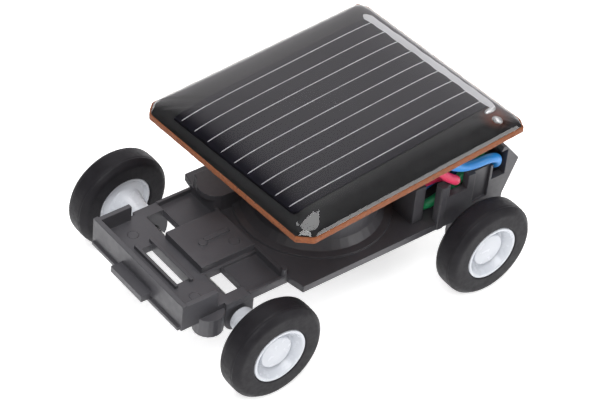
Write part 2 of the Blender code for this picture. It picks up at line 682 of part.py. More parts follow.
CLUSTER_FOOT_Z = SPUR_Z0 - 4 * MODULE         # where the pinion that drives the crown starts
COLLAR_R = 2.5 * PIN_R
CLUSTER_FOOT_R = 2 * PIN_R


def cluster_gear():
    small = extruded("cluster_gear", [gear_outline(PINION_TEETH, CLUSTER_PINION_PHASE)],
                     CLUSTER_FOOT_Z, SPUR_Z0 + OVER, GEAR, at=(REAR_X, 0))
    large = extruded("cluster_wheel", [gear_outline(CLUSTER_TEETH, CLUSTER_PHASE)], SPUR_Z0, SPUR_TOP,
                     at=(REAR_X, 0))
    collar = rod("cluster_collar", COLLAR_R, (REAR_X, 0, SPUR_TOP - OVER),
                 (REAR_X, 0, COVER_Z0 - 1.5 * OVER))
    foot = rod("cluster_foot", CLUSTER_FOOT_R, (REAR_X, 0, PLATE_Z1 + OVER),
               (REAR_X, 0, CLUSTER_FOOT_Z + OVER))
    bore = rod("cluster_bore", PIN_R + RUN, (REAR_X, 0, PLATE_Z1 - 0.5), (REAR_X, 0, COVER_Z0 + 0.5))
    unite(small, large, collar, foot)
    return cut(small, bore)


def idler_gear():
    return extruded("idler_gear", [gear_outline(IDLER_TEETH, IDLER_PHASE), circle(PIN_R + RUN, PIN_SIDES)],
                    SPUR_Z0, SPUR_TOP, GEAR, at=(IDLER_X, IDLER_Y))


def crown_gear():
    """A face gear on the rear axle: a web with a ring of teeth that point at the cluster pinion."""
    back = CROWN_FACE_Y + CROWN_WEB
    bore = AXLE_R + SEAT
    boss_top = back + CROWN_BOSS
    wheel_body = turned("crown_gear", [
        (CROWN_BOSS_R - OVER, boss_top), (CROWN_BOSS_R, back), (CROWN_OUTER, back),
        (CROWN_OUTER, CROWN_TOOTH_Y), (CROWN_INNER, CROWN_TOOTH_Y), (CROWN_INNER, CROWN_FACE_Y),
        (bore, CROWN_FACE_Y), (bore, boss_top)],
        GEAR, closed=True, sides=2 * CROWN_TEETH, place=(REAR_X, 0, AXLE_Z), turn=(-pi / 2, 0, 0))
    gap_height = 1.0
    size = Matrix.Diagonal((CROWN_GAP_LENGTH * MM, CROWN_GAP * MM, gap_height * MM, 1.0))
    outwards = Matrix.Translation((CROWN_R * MM, 0, (CROWN_FACE_Y - gap_height / 2) * MM))
    bm = bmesh.new()
    for i in range(CROWN_TEETH):
        around = Matrix.Rotation(tau * (i + 0.5) / CROWN_TEETH, 4, "Z")
        bmesh.ops.create_cube(bm, size=1.0, matrix=around @ outwards @ size)
    mesh = bpy.data.meshes.new("crown_gaps")
    bm.to_mesh(mesh)
    bm.free()
    gaps = finish(bpy.data.objects.new("crown_gaps", mesh))
    gaps.location = Vector((REAR_X, 0, AXLE_Z)) * MM
    gaps.rotation_euler = (-pi / 2, 0, 0)
    return cut(wheel_body, gaps)


# ---- motor ----

def motor_case():
    here = (DRUM_X, DRUM_Y, 0)
    inner = CAN_R - CAN_WALL
    magnet_r = inner - SEAT
    hole = BUSH_R + SEAT
    floor = CAN_Z0 + CAN_WALL
    top = CAP_Z0 + CAP_T
    magnet_top = CAP_Z0 - BUSH_R
    turned("motor_can", [
        (CAN_R, top), (CAN_R, CAN_Z0), (hole, CAN_Z0), (hole, floor), (inner, floor), (inner, top)],
        STEEL, closed=True, place=here)
    turned("ring_magnet", [
        (magnet_r, magnet_top), (magnet_r, floor + REST), (magnet_r - MAGNET_T, floor + REST),
        (magnet_r - MAGNET_T, magnet_top)], MAGNET, closed=True, place=here)
    turned("motor_cap", [(inner - SEAT, top), (inner - SEAT, CAP_Z0), (hole, CAP_Z0), (hole, top)],
           HUB, closed=True, place=here)
    for name, low in (("lower", CAN_Z0), ("upper", CAP_Z0)):
        turned("motor_bush_" + name, [
            (BUSH_R, low + BUSH_H), (BUSH_R, low), (SHAFT_R + RUN, low), (SHAFT_R + RUN, low + BUSH_H)],
            BRASS, closed=True, sides=TRIM_SIDES, place=here)
    for name, side in (("left", 1), ("right", -1)):
        box("brush_" + name, (DRUM_X - BRUSH_HALF, DRUM_X + BRUSH_HALF),
            (DRUM_Y + side * (COMMUTATOR_R + RUN), DRUM_Y + side * BRUSH_END),
            (CAP_Z0 - 0.75, CAP_Z0 - REST), COPPER)


def rotor():
    """Everything that turns in the motor, hung on an empty on the motor's axis."""
    seat = bpy.data.objects.new("rotor_seat", None)
    CAR.objects.link(seat)
    seat.location = Vector((DRUM_X, DRUM_Y, 0)) * MM
    bore = SHAFT_R + SEAT
    low = CAN_Z0 + CAN_WALL + 0.35
    high = CAP_Z0 - 1.1
    pieces = [
        rod("motor_shaft", SHAFT_R, (0, 0, SPUR_Z0 - REST), (0, 0, CAP_Z0 + CAP_T), STEEL, sides=PIN_SIDES),
        extruded("motor_pinion", [gear_outline(PINION_TEETH, MOTOR_PHASE), circle(bore, PIN_SIDES)],
                 SPUR_Z0, SPUR_TOP, BRASS),
        turned("rotor_core", [
            (ROTOR_HUB_R, high), (ROTOR_HUB_R, low + CORE_T), (ROTOR_R, low + CORE_T), (ROTOR_R, low),
            (bore, low), (bore, high)], MAGNET, closed=True),
        turned("commutator", [
            (COMMUTATOR_R, CAP_Z0 - RIM), (COMMUTATOR_R, high + SEAT), (bore, high + SEAT),
            (bore, CAP_Z0 - RIM)], COPPER, closed=True, sides=TRIM_SIDES)]
    reach = (ROTOR_R + ROTOR_HUB_R) / 2
    for i in range(3):
        angle = tau * i / 3 + pi / 3
        pieces.append(turned("rotor_coil_%d" % (i + 1), [
            (COIL_R, high - 1.5 * OVER), (COIL_R, low + CORE_T + SEAT), (COIL_BORE_R, low + CORE_T + SEAT),
            (COIL_BORE_R, high - 1.5 * OVER)], COPPER, closed=True, sides=TRIM_SIDES,
            place=(reach * cos(angle), reach * sin(angle), 0)))
    for piece in pieces:
        piece.parent = seat


# ---- gearbox pieces ----

def gearbox_pieces():
    cover = box("gear_cover", (COVER_X0, COVER_X1), (WALL + OVER - PLATE_HALF, COVER_Y1),
                (COVER_Z0, COVER_Z0 + COVER_T), GREY)
    for name, x in (("front", COVER_X1 - COVER_LEG), ("back", COVER_X0)):
        unite(cover, box("cover_leg_" + name, (x + STEP_BACK, x + COVER_LEG - STEP_BACK),
                         (COVER_Y1 - COVER_LEG, COVER_Y1 - STEP_BACK), (PLATE_Z1 + REST, COVER_Z0 + OVER)))
    cut(cover, rod("cover_hole", PIN_R + SEAT, (REAR_X, 0, COVER_Z0 - 1), (REAR_X, 0, COVER_Z0 + 1)))
    rod("cluster_pin", PIN_R, (REAR_X, 0, PLATE_Z0 + REST), (REAR_X, 0, COVER_Z0 + COVER_T + OVER), STEEL,
        sides=PIN_SIDES)
    rod("idler_pin", PIN_R, (IDLER_X, IDLER_Y, PLATE_Z0 + 1.5 * OVER),
        (IDLER_X, IDLER_Y, SPUR_TOP + 1.5 * OVER), STEEL, sides=PIN_SIDES)
    box("terminal_block", (BLOCK_X0, BLOCK_X1), (BLOCK_Y0, BLOCK_Y1),
        (PLATE_Z1 + REST, PLATE_Z1 + BLOCK_H), GREY)


# ---- panel ----

def on_panel(obj, seat, lift=0.0, at=(0, 0)):
    """Hangs a piece on the panel's empty, at a height over the board's underside."""
    obj.parent = seat
    obj.location = Vector((at[0], at[1], lift)) * MM
    return obj


def board_outline(inset):
    """The board's outline with its four corners cut off, drawn in by the inset."""
    a = BOARD_LENGTH / 2 - inset
    b = BOARD_WIDTH / 2 - inset
    trim = 0.4 * inset
    front_x, front_y = (size + trim for size in FRONT_CHAMFER)
    rear_x, rear_y = (size + trim for size in REAR_CHAMFER)
    left = [(a, b - front_y), (a - front_x, b), (rear_x - a, b), (-a, b - rear_y)]
    return left + [(x, -y) for x, y in reversed(left)]


def dome_mesh():
    """The poured epoxy: the board's outline stacked up a quarter ellipse, closed by a flat top."""
    bm = bmesh.new()
    rings = []
    for level in range(DOME_STEPS + 1):
        angle = level / DOME_STEPS * DOME_SWEEP
        outline = board_outline(DOME_INSET + DOME_SHOULDER * (1 - cos(angle)))
        height = DOME_HEIGHT * sin(angle)
        rings.append([bm.verts.new(Vector((x, y, height)) * MM) for x, y in outline])
    corners = len(rings[0])
    for low, high in zip(rings, rings[1:]):
        for i in range(corners):
            bm.faces.new((low[i], low[(i + 1) % corners], high[(i + 1) % corners], high[i]))
    bm.faces.new(list(reversed(rings[0])))
    bm.faces.new(rings[-1])
    bmesh.ops.recalc_face_normals(bm, faces=bm.faces)
    mesh = bpy.data.meshes.new("epoxy_dome")
    bm.to_mesh(mesh)
    bm.free()
    return mesh


def contact_outline():
    """The silver print on the cell: a busbar across the back and one finger for each strip."""
    back = BUSBAR_MARGIN - CELL_LENGTH / 2
    front = CELL_LENGTH / 2 - OVER
    bus_half = CELL_WIDTH / 2 - BUSBAR_END
    half = FINGER_WIDTH / 2
    points = [(back, -bus_half), (back + BUSBAR_WIDTH, -bus_half)]
    for i in range(FINGERS):
        y = (i - (FINGERS - 1) / 2) * FINGER_PITCH
        points += [(back + BUSBAR_WIDTH, y - half), (front, y - half), (front, y + half),
                   (back + BUSBAR_WIDTH, y + half)]
    return points + [(back + BUSBAR_WIDTH, bus_half), (back, bus_half)]


def link_places():
    """The two solder beads beside the cell's back left corner, and the strip between them."""
    first = Vector((CELL_X - CELL_LENGTH / 2 + 0.35, CELL_Y + CELL_WIDTH / 2 + LINK_R - 0.05, 0))
    return first, first + Vector((0.2, 0.75, 0))


def cell_link(seat):
    first, second = link_places()
    link = rod("cell_link", LINK_R, first, first + Vector((0, 0, LINK_H)), SOLDER, sides=PIN_SIDES,
               end_radius=0.6 * LINK_R)
    other = rod("cell_link_far", LINK_R, second, second + Vector((0, 0, LINK_H)), sides=PIN_SIDES,
                end_radius=0.6 * LINK_R)
    strip = box("cell_link_strip", (first.x - OVER, second.x + OVER), (first.y, second.y),
                (STEP_BACK, LINK_H / 3))
    for piece in (link, other, strip):
        piece.parent = seat
        piece.location.z += (BOARD_T + SEAT) * MM
    return unite(link, other, strip)


def panel():
    seat = bpy.data.objects.new("panel_seat", None)
    CAR.objects.link(seat)
    seat.matrix_world = panel_matrix(0.0)
    board = extruded("panel_board", [board_outline(0.0)], 0, BOARD_T, BOARD)
    on_panel(board, seat, BOARD_T / 2)
    cell_z = BOARD_T + SEAT
    cell_at = (CELL_X, CELL_Y)
    cell = box("solar_cell", (-CELL_LENGTH / 2, CELL_LENGTH / 2), (-CELL_WIDTH / 2, CELL_WIDTH / 2),
               (0, CELL_T), CELL)
    on_panel(cell, seat, cell_z, cell_at)
    grid = extruded("contact_grid", [contact_outline()], 0, FINGER_T, SILVER)
    on_panel(grid, seat, cell_z + CELL_T + SEAT + FINGER_T / 2, cell_at)
    dome = bpy.data.objects.new("epoxy_dome", dome_mesh())
    finish(dome, EPOXY)
    on_panel(dome, seat, cell_z)
    room = CELL_T + FINGER_T + 3 * SEAT
    pocket = box("dome_pocket", (-CELL_LENGTH / 2 - 2 * REST, CELL_LENGTH / 2 + 2 * REST),
                 (-CELL_WIDTH / 2 - 2 * REST, CELL_WIDTH / 2 + 2 * REST), (-BOARD_T, room))
    on_panel(pocket, seat, cell_z, cell_at)
    for turned_piece in (cell, grid, pocket):
        turned_piece.rotation_euler = (0, 0, CELL_TURN)
    first, second = link_places()
    edge = LINK_R + REST
    link_pocket = box("link_pocket", (first.x - edge, second.x + edge), (first.y - edge, second.y + edge),
                      (-BOARD_T, room - STEP_BACK))
    on_panel(link_pocket, seat, cell_z)
    cut(dome, pocket, link_pocket)
    cell_link(seat)
    pad_x, pad_y = over_drum()
    pad = rod("glue_pad", DRUM_R - RIM, (pad_x, pad_y, 0), (pad_x, pad_y, GLUE_T), GLUE, sides=ROUND_SIDES)
    on_panel(pad, seat, -GLUE_T - REST, (pad_x, pad_y))
    for colour, spot in SOLDER_SPOTS.items():
        joint = rod("solder_" + colour, SOLDER_R, (*spot, 0), (*spot, SOLDER_H), SOLDER, sides=PIN_SIDES,
                    end_radius=SOLDER_R + SOLDER_FLARE)
        on_panel(joint, seat, -SOLDER_H - SEAT, spot)


# ---- wires ----

def smooth_route(points, step):
    """Points every step along a curve that passes through the given ones (Catmull-Rom)."""
    route = [Vector(p) for p in points]
    route = [2 * route[0] - route[1]] + route + [2 * route[-1] - route[-2]]
    dense = []
    for a, b, c, d in zip(route, route[1:], route[2:], route[3:]):
        parts = max(1, round((c - b).length / step))
        for k in range(parts):
            t = k / parts
            dense.append(0.5 * (2 * b + (c - a) * t + (2 * a - 5 * b + 4 * c - d) * t * t
                                + (3 * b - a - 3 * c + d) * t ** 3))
    return dense + [route[-2]]


def leave_joint(colour):
    """The first two points of a wire: straight down from its solder joint under the board."""
    x, y = SOLDER_SPOTS[colour]
    start = SOLDER_H + SEAT + REST
    return [panel_matrix(-depth) @ Vector((x * MM, y * MM, 0)) / MM for depth in (start, start + WIRE_DROP)]


def wire(name, slot, points):
    curve = bpy.data.curves.new(name, "CURVE")
    curve.dimensions = "3D"
    curve.bevel_depth = WIRE_R * MM
    curve.bevel_resolution = 2
    curve.use_fill_caps = True
    spline = curve.splines.new("POLY")
    route = smooth_route(points, WIRE_STEP)
    spline.points.add(len(route) - 1)
    for point, place in zip(spline.points, route):
        point.co = (*(place * MM), 1.0)
    return finish(bpy.data.objects.new(name, curve), slot)


def wires():
    """Each wire runs from the board, over the gearbox wall by a notch, and in to the terminals."""
    end_x = BLOCK_X0 - REST
    low = AXLE_Z
    wire("wire_red", RED, leave_joint("red") + [
        (REAR_X + 3.4, 6.6, low + 7.5), (REAR_X + 2.4, 7.15, low + 6.15),
        (REAR_X + 1.45, 7.25, low + 5.4), (REAR_X + 1.1, 6.6, low + 4.8), (REAR_X + 1.5, 5.7, low + 4.65),
        (REAR_X + 2.7, 5.3, low + 4.3), (end_x - 0.6, 5.3, low + 4.2), (end_x, 5.3, low + 4.2)])
    wire("wire_blue", BLUE, leave_joint("blue") + [
        (REAR_X + 3.0, 7.6, low + 8.0), (REAR_X + 1.9, 7.45, low + 7.1),
        (REAR_X + 0.8, 7.35, low + 6.5), (REAR_X - 0.4, 7.3, low + 6.2), (REAR_X - 1.7, 7.3, low + 6.1),
        (REAR_X - 2.7, 7.2, low + 5.65), (REAR_X - 3.0, 6.9, low + 4.85), (REAR_X - 2.7, 6.1, low + 4.5),
        (REAR_X - 1.5, 5.3, low + 3.95), (REAR_X + 0.8, 4.6, low + 3.4), (REAR_X + 2.6, 4.75, low + 3.15),
        (end_x - 0.6, 4.8, low + 3.1), (end_x, 4.8, low + 3.1)])
    wire("wire_green", GREEN, leave_joint("green") + [
        (REAR_X - 0.2, 5.6, low + 8.0), (REAR_X - 1.5, 6.1, low + 7.0),
        (REAR_X - 2.3, 6.1, low + 6.2), (REAR_X - 2.4, 5.7, low + 5.4), (REAR_X - 1.6, 6.3, low + 4.9),
        (REAR_X - 0.2, 6.4, low + 4.6), (REAR_X + 1.0, 6.3, low + 3.6), (REAR_X + 2.3, 5.9, low + 2.6),
        (end_x - 0.6, 5.7, low + 2.4), (end_x, 5.7, low + 2.4)])


# ---- the car ----

def build():
    chassis()
    for end, x, boss in (("front", FRONT_X, FRONT_BOSS), ("rear", REAR_X, REAR_BOSS)):
        axle(end + "_axle", x)
        for side in (1, -1):
            wheel(end, side, x, boss)
    crown_gear()
    cluster_gear()
    idler_gear()
    motor_case()
    rotor()
    gearbox_pieces()
    panel()
    wires()


build()
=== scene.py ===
# %% [markdown]
# # A miniature solar-powered car
# The car is a moulded grey chassis on four small wheels. A flat motor sits in a round drum, and a
# solar panel under a drop of clear epoxy is glued on the drum. The CAD model is loaded as a fixed
# frame, and everything a viewer sees is either one of its solids with a better finish, or a new
# surface put in that solid's place. All lengths are metres; the car is 31 mm long.

# %% load the frame and keep its box
import math

import bmesh
import bpy
import numpy as np
from mathutils import Matrix, Vector


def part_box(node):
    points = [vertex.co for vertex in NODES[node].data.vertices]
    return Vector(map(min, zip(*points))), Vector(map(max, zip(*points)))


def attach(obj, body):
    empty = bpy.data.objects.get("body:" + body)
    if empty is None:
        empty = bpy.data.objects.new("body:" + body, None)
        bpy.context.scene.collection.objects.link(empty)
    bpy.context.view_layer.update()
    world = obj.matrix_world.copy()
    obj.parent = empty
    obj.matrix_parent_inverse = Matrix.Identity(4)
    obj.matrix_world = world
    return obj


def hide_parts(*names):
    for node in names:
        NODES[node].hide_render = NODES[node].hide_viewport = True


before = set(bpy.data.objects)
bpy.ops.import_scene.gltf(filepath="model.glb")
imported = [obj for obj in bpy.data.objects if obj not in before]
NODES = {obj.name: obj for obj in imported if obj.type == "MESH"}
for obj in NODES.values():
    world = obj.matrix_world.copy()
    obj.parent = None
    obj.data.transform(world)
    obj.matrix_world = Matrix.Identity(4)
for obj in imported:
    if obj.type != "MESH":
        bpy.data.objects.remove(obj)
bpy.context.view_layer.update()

MM = 0.001

# %% [markdown]
# ## The camera
# A product picture of something this small is taken from a hand's breadth away with a long lens,
# which keeps the wheels round. The camera is placed by three directions at right angles, because
# it leans a little to one side and a plain look-at would lose that lean.

# %% camera
LENS_MM = 148.26
SENSOR_MM = 36.0
camera_at = np.array([94.41, 106.08, 130.13]) * MM
back = np.array([0.50261, 0.56223, 0.65672])
back /= np.linalg.norm(back)
right = np.array([-0.78894, 0.6089, 0.08252])
right -= back * (right @ back)
right /= np.linalg.norm(right)
up = np.cross(back, right)
lens = bpy.data.cameras.new("product_lens")
lens.lens = LENS_MM
lens.sensor_width = SENSOR_MM
lens.clip_start = 0.01
lens.clip_end = 20.0
camera = bpy.data.objects.new("product_camera", lens)
bpy.context.scene.collection.objects.link(camera)
placed = np.eye(4)
placed[:3, 0], placed[:3, 1], placed[:3, 2], placed[:3, 3] = right, up, back, camera_at
camera.matrix_world = Matrix(placed.tolist())
bpy.context.scene.camera = camera
print("camera is", round(float(np.linalg.norm(camera_at)) / MM), "mm from the car's middle")

# %% [markdown]
# ## The light tent
# A small glossy thing shows its shape best between soft lamps and dark cards, on paper that glows
# a little and curves up behind them. One lamp hangs overhead, a taller one stands on the camera's
# side, and a narrow white card stands by the car's left. The dark parts matter most: they are what
# the glassy panel mirrors, so its rounded edge looks black, with pale bands only where it mirrors
# the lamps, and its flat top mirrors the paper behind and looks a dark plum grey.

# %% lamps, floor and walls


def softbox(name, place, width, height, radiance, aim=(0.0, 0.0, 0.0)):
    """A rectangular lamp that faces a point. Its power is pi * width * height * radiance."""
    lamp = bpy.data.lights.new(name, "AREA")
    lamp.shape = "RECTANGLE"
    lamp.size = width
    lamp.size_y = height
    lamp.energy = radiance * math.pi * width * height
    lamp_object = bpy.data.objects.new(name, lamp)
    lamp_object.location = place
    toward = Vector(aim) - Vector(place)
    lamp_object.rotation_euler = toward.to_track_quat("-Z", "Y").to_euler()
    bpy.context.scene.collection.objects.link(lamp_object)
    print(name, "is", round(toward.length, 2), "m away")


softbox("overhead_softbox", (-0.02, -0.02, 0.60), 0.40, 0.40, 4.2, aim=(-0.02, -0.02, 0.0))
softbox("front_softbox", (0.339, 0.265, 0.614), 0.40, 0.45, 6.5)
softbox("side_card", (-0.312, 0.445, 0.254), 0.35, 0.25, 4.5)

FLOOR_HALF = 3.0
floor_mesh = bpy.data.meshes.new("tent_floor")
corners = FLOOR_HALF * np.array([[-1, -1, 0], [1, -1, 0], [1, 1, 0], [-1, 1, 0]])
floor_mesh.from_pydata(corners.tolist(), [], [(0, 1, 2, 3)])
tent_floor = bpy.data.objects.new("tent_floor", floor_mesh)
bpy.context.scene.collection.objects.link(tent_floor)


def tent_walls(towards, dark, bright, outer, inner):
    """Dark walls with one bright patch. The patch grows from dark to bright as the cosine of the
    angle from its middle goes from outer to inner, by a smooth step."""
    world = bpy.data.worlds.new("tent_walls")
    world.use_nodes = True
    tree = world.node_tree
    direction = tree.nodes.new("ShaderNodeTexCoord")
    nearness = tree.nodes.new("ShaderNodeVectorMath")
    nearness.operation = "DOT_PRODUCT"
    nearness.inputs[1].default_value = tuple(towards / np.linalg.norm(towards))
    fade = tree.nodes.new("ShaderNodeMapRange")
    fade.interpolation_type = "SMOOTHSTEP"
    fade.inputs["From Min"].default_value = outer
    fade.inputs["From Max"].default_value = inner
    fade.inputs["To Min"].default_value = dark
    fade.inputs["To Max"].default_value = bright
    tree.links.new(direction.outputs["Generated"], nearness.inputs[0])
    tree.links.new(nearness.outputs["Value"], fade.inputs["Value"])
    tree.links.new(fade.outputs["Result"], tree.nodes["Background"].inputs["Strength"])
    tree.nodes["Background"].inputs["Color"].default_value = (1.0, 0.97, 1.0, 1.0)
    bpy.context.scene.world = world


tent_walls(np.array([-0.63, -0.695, 0.342]), dark=0.04, bright=1.1, outer=0.66, inner=0.98)
bpy.context.scene.view_settings.view_transform = "Standard"
print("floor", 2 * FLOOR_HALF, "m wide")

# %% [markdown]
# ## Finishes
# Each finish is a small network of nodes around one Principled shader. Nearly all of them share a
# pattern: a slow noise drifts the colour between two tones, a middling noise varies the gloss, and
# a fine noise lifts the surface. Noise on Object coordinates is used, because it is in metres and
# stays put when a wheel turns. Sizes are given as the grain's real size.

# %% one function for most finishes


def finish(name, tones, gloss, grain, relief, drift=None, metal=0.0, edge=None, **sockets):
    """Colour drifts between two tones, roughness between two values, and the height by relief.

    Noise frequency is one over the grain size in metres; edge rounds sharp edges in shading."""
    made = bpy.data.materials.new(name)
    made.use_nodes = True
    tree = made.node_tree
    shader = tree.nodes["Principled BSDF"]
    shader.inputs["Metallic"].default_value = metal
    for socket, value in sockets.items():
        shader.inputs[socket.replace("_", " ")].default_value = value
    place = tree.nodes.new("ShaderNodeTexCoord").outputs["Object"]

    def noise(size, detail):
        texture = tree.nodes.new("ShaderNodeTexNoise")
        texture.inputs["Scale"].default_value = 1.0 / size
        texture.inputs["Detail"].default_value = detail
        tree.links.new(place, texture.inputs["Vector"])
        return texture.outputs["Fac"]

    tint = tree.nodes.new("ShaderNodeMix")
    tint.data_type = "RGBA"
    tint.inputs["A"].default_value = (*tones[0], 1.0)
    tint.inputs["B"].default_value = (*tones[1], 1.0)
    tree.links.new(noise(drift or grain * 12, 3.0), tint.inputs["Factor"])
    tree.links.new(tint.outputs["Result"], shader.inputs["Base Color"])
    sheen = tree.nodes.new("ShaderNodeMapRange")
    sheen.inputs["From Min"].default_value = 0.3
    sheen.inputs["From Max"].default_value = 0.7
    sheen.inputs["To Min"].default_value = gloss[0]
    sheen.inputs["To Max"].default_value = gloss[1]
    tree.links.new(noise(grain * 5, 2.0), sheen.inputs["Value"])
    tree.links.new(sheen.outputs["Result"], shader.inputs["Roughness"])
    bump = tree.nodes.new("ShaderNodeBump")
    bump.inputs["Distance"].default_value = relief
    tree.links.new(noise(grain, 4.0), bump.inputs["Height"])
    if edge:
        rounding = tree.nodes.new("ShaderNodeBevel")
        rounding.samples = 6
        rounding.inputs["Radius"].default_value = edge
        tree.links.new(rounding.outputs["Normal"], bump.inputs["Normal"])
    tree.links.new(bump.outputs["Normal"], shader.inputs["Normal"])
    return made


# %% plastics and rubber
GREY = finish("satin_grey_moulding", ((0.050, 0.049, 0.055), (0.068, 0.066, 0.074)), (0.36, 0.50),
              grain=0.10 * MM, relief=4e-6, drift=2.2 * MM, edge=0.09 * MM)
RUBBER = finish("satin_black_rubber", ((0.010, 0.009, 0.011), (0.020, 0.019, 0.022)), (0.40, 0.58),
                grain=0.07 * MM, relief=5e-6, drift=1.1 * MM, Specular_IOR_Level=0.14)
WHITE = finish("glossy_white_moulding", ((0.52, 0.54, 0.58), (0.58, 0.60, 0.64)), (0.20, 0.30),
               grain=0.12 * MM, relief=2e-6, drift=2.0 * MM, edge=0.04 * MM)
NATURAL = finish("natural_gear_plastic", ((0.66, 0.65, 0.60), (0.76, 0.75, 0.71)), (0.32, 0.44),
                 grain=0.10 * MM, relief=3e-6, edge=0.03 * MM)
GLUE = finish("dried_white_glue", ((0.70, 0.70, 0.68), (0.82, 0.82, 0.80)), (0.25, 0.45),
              grain=0.15 * MM, relief=1.2e-5)
WIRE_RED = finish("red_insulation", ((0.66, 0.02, 0.09), (0.80, 0.05, 0.14)), (0.28, 0.42),
                  grain=0.09 * MM, relief=3e-6)
WIRE_BLUE = finish("blue_insulation", ((0.010, 0.20, 0.62), (0.025, 0.30, 0.74)), (0.28, 0.42),
                   grain=0.09 * MM, relief=3e-6)
WIRE_GREEN = finish("green_insulation", ((0.010, 0.26, 0.09), (0.03, 0.38, 0.15)), (0.28, 0.42),
                    grain=0.09 * MM, relief=3e-6)
print("plastics, rubber and glue mixed")

# %% metals, ferrite and silicon
STEEL = finish("drawn_steel", ((0.52, 0.52, 0.51), (0.66, 0.66, 0.64)), (0.18, 0.34),
               grain=0.05 * MM, relief=2e-6, metal=1.0)
PLATED = finish("plated_motor_steel", ((0.46, 0.46, 0.46), (0.56, 0.56, 0.55)), (0.26, 0.42),
                grain=0.06 * MM, relief=2e-6, metal=1.0, edge=0.05 * MM)
BRASS = finish("turned_brass", ((0.66, 0.46, 0.18), (0.74, 0.54, 0.26)), (0.20, 0.36),
               grain=0.05 * MM, relief=2e-6, metal=1.0)
COPPER = finish("enamelled_copper", ((0.62, 0.24, 0.11), (0.78, 0.36, 0.19)), (0.24, 0.40),
                grain=0.05 * MM, relief=6e-6, metal=1.0)
FERRITE = finish("dull_ferrite", ((0.045, 0.045, 0.05), (0.075, 0.075, 0.08)), (0.55, 0.72),
                 grain=0.08 * MM, relief=1e-5)
SOLDER = finish("bright_solder", ((0.84, 0.84, 0.85), (0.92, 0.92, 0.92)), (0.22, 0.36),
                grain=0.10 * MM, relief=1e-5, metal=0.45)
SILVER = finish("printed_silver", ((0.72, 0.72, 0.75), (0.86, 0.86, 0.88)), (0.40, 0.55),
                grain=0.05 * MM, relief=4e-6, drift=0.8 * MM)
SILICON = finish("dark_silicon", ((0.009, 0.008, 0.014), (0.012, 0.011, 0.019)), (0.40, 0.44),
                 grain=0.20 * MM, relief=0.0, drift=5.0 * MM, Specular_IOR_Level=0.1)
print("metals and silicon mixed")

# %% [markdown]
# Three finishes need something of their own. Epoxy is glass-like: it bends light, which is why
# the fine lines seem to curve near the panel's edge. The pressed-paper board shows fibres where it
# was sawn, and dark pits that are painted shade. Under the epoxy the board is black, with a coppery halo
# at its solder.

# %% epoxy, sawn board and the black print
EPOXY = finish("clear_epoxy", ((0.97, 0.97, 0.98), (1.0, 1.0, 1.0)), (0.006, 0.014),
               grain=2.6 * MM, relief=0.0, drift=6.0 * MM, Transmission_Weight=1.0, IOR=1.53)


def sawn_board(name, fibre, tones, pit):
    """Brown between two tones along noise, and dark pits of painted shade where a cell noise is low."""
    made = finish(name, tones, (0.55, 0.75), grain=fibre, relief=3.0e-5, drift=3.0 * fibre)
    tree = made.node_tree
    shader = tree.nodes["Principled BSDF"]
    tint = shader.inputs["Base Color"].links[0].from_node
    holes = tree.nodes.new("ShaderNodeTexVoronoi")
    holes.inputs["Scale"].default_value = 1.0 / (7.0 * fibre)
    place = next(n for n in tree.nodes if n.type == "TEX_COORD")
    tree.links.new(place.outputs["Object"], holes.inputs["Vector"])
    darkness = tree.nodes.new("ShaderNodeMapRange")
    darkness.inputs["From Min"].default_value = 0.10
    darkness.inputs["From Max"].default_value = 0.22
    tree.links.new(holes.outputs["Distance"], darkness.inputs["Value"])
    # painted shade: the pit colour darkens the board where the cell noise is low, in place of shade in
    # the sawn edge's holes
    painted_pit_shade = tree.nodes.new("ShaderNodeMix")
    painted_pit_shade.data_type = "RGBA"
    painted_pit_shade.inputs["A"].default_value = (*pit, 1.0)
    tree.links.new(darkness.outputs["Result"], painted_pit_shade.inputs["Factor"])
    tree.links.new(tint.outputs["Result"], painted_pit_shade.inputs["B"])
    tree.links.new(painted_pit_shade.outputs["Result"], shader.inputs["Base Color"])
    return made


def black_print(name, centre, reach, halo):
    """Black everywhere but near one point, where it warms to copper within the given reach."""
    made = finish(name, ((0.003, 0.003, 0.004), (0.008, 0.008, 0.009)), (0.45, 0.60),
                  grain=0.15 * MM, relief=3e-6)
    tree = made.node_tree
    shader = tree.nodes["Principled BSDF"]
    tint = shader.inputs["Base Color"].links[0].from_node
    place = next(n for n in tree.nodes if n.type == "TEX_COORD")
    away = tree.nodes.new("ShaderNodeVectorMath")
    away.operation = "DISTANCE"
    away.inputs[1].default_value = centre
    tree.links.new(place.outputs["Object"], away.inputs[0])
    fade = tree.nodes.new("ShaderNodeMapRange")
    fade.interpolation_type = "SMOOTHSTEP"
    fade.inputs["From Min"].default_value = 0.0
    fade.inputs["From Max"].default_value = reach
    tree.links.new(away.outputs["Value"], fade.inputs["Value"])
    warm = tree.nodes.new("ShaderNodeMix")
    warm.data_type = "RGBA"
    warm.inputs["A"].default_value = (*halo, 1.0)
    tree.links.new(fade.outputs["Result"], warm.inputs["Factor"])
    tree.links.new(tint.outputs["Result"], warm.inputs["B"])
    tree.links.new(warm.outputs["Result"], shader.inputs["Base Color"])
    return made


# the last colour is painted shade for the pits of the sawn edge
BOARD = sawn_board("sawn_brown_board", 0.055 * MM, ((0.10, 0.022, 0.003), (0.32, 0.090, 0.018)),
                   (0.03, 0.012, 0.006))
print("epoxy and board mixed")

# %% [markdown]
# The tent floor is a diffuse white that also glows, so that shadows on it stay pale.

# %% floor finish
FLOOR = finish("tent_floor_white", ((0.90, 0.90, 0.90), (0.92, 0.92, 0.92)), (0.85, 0.95),
               grain=0.02, relief=0.0, Emission_Color=(1.0, 1.0, 1.0, 1.0), Emission_Strength=0.62,
               Specular_IOR_Level=0.0)
floor_mesh.materials.append(FLOOR)

# %% [markdown]
# ## From grids of points to surfaces
# Every new piece is a grid of points worked out all at once. `skin` joins each point to its
# neighbours with four-sided faces, welds the points that meet at a pole or a seam, fills any open
# end, and turns every face outwards.

# %% grid to surface


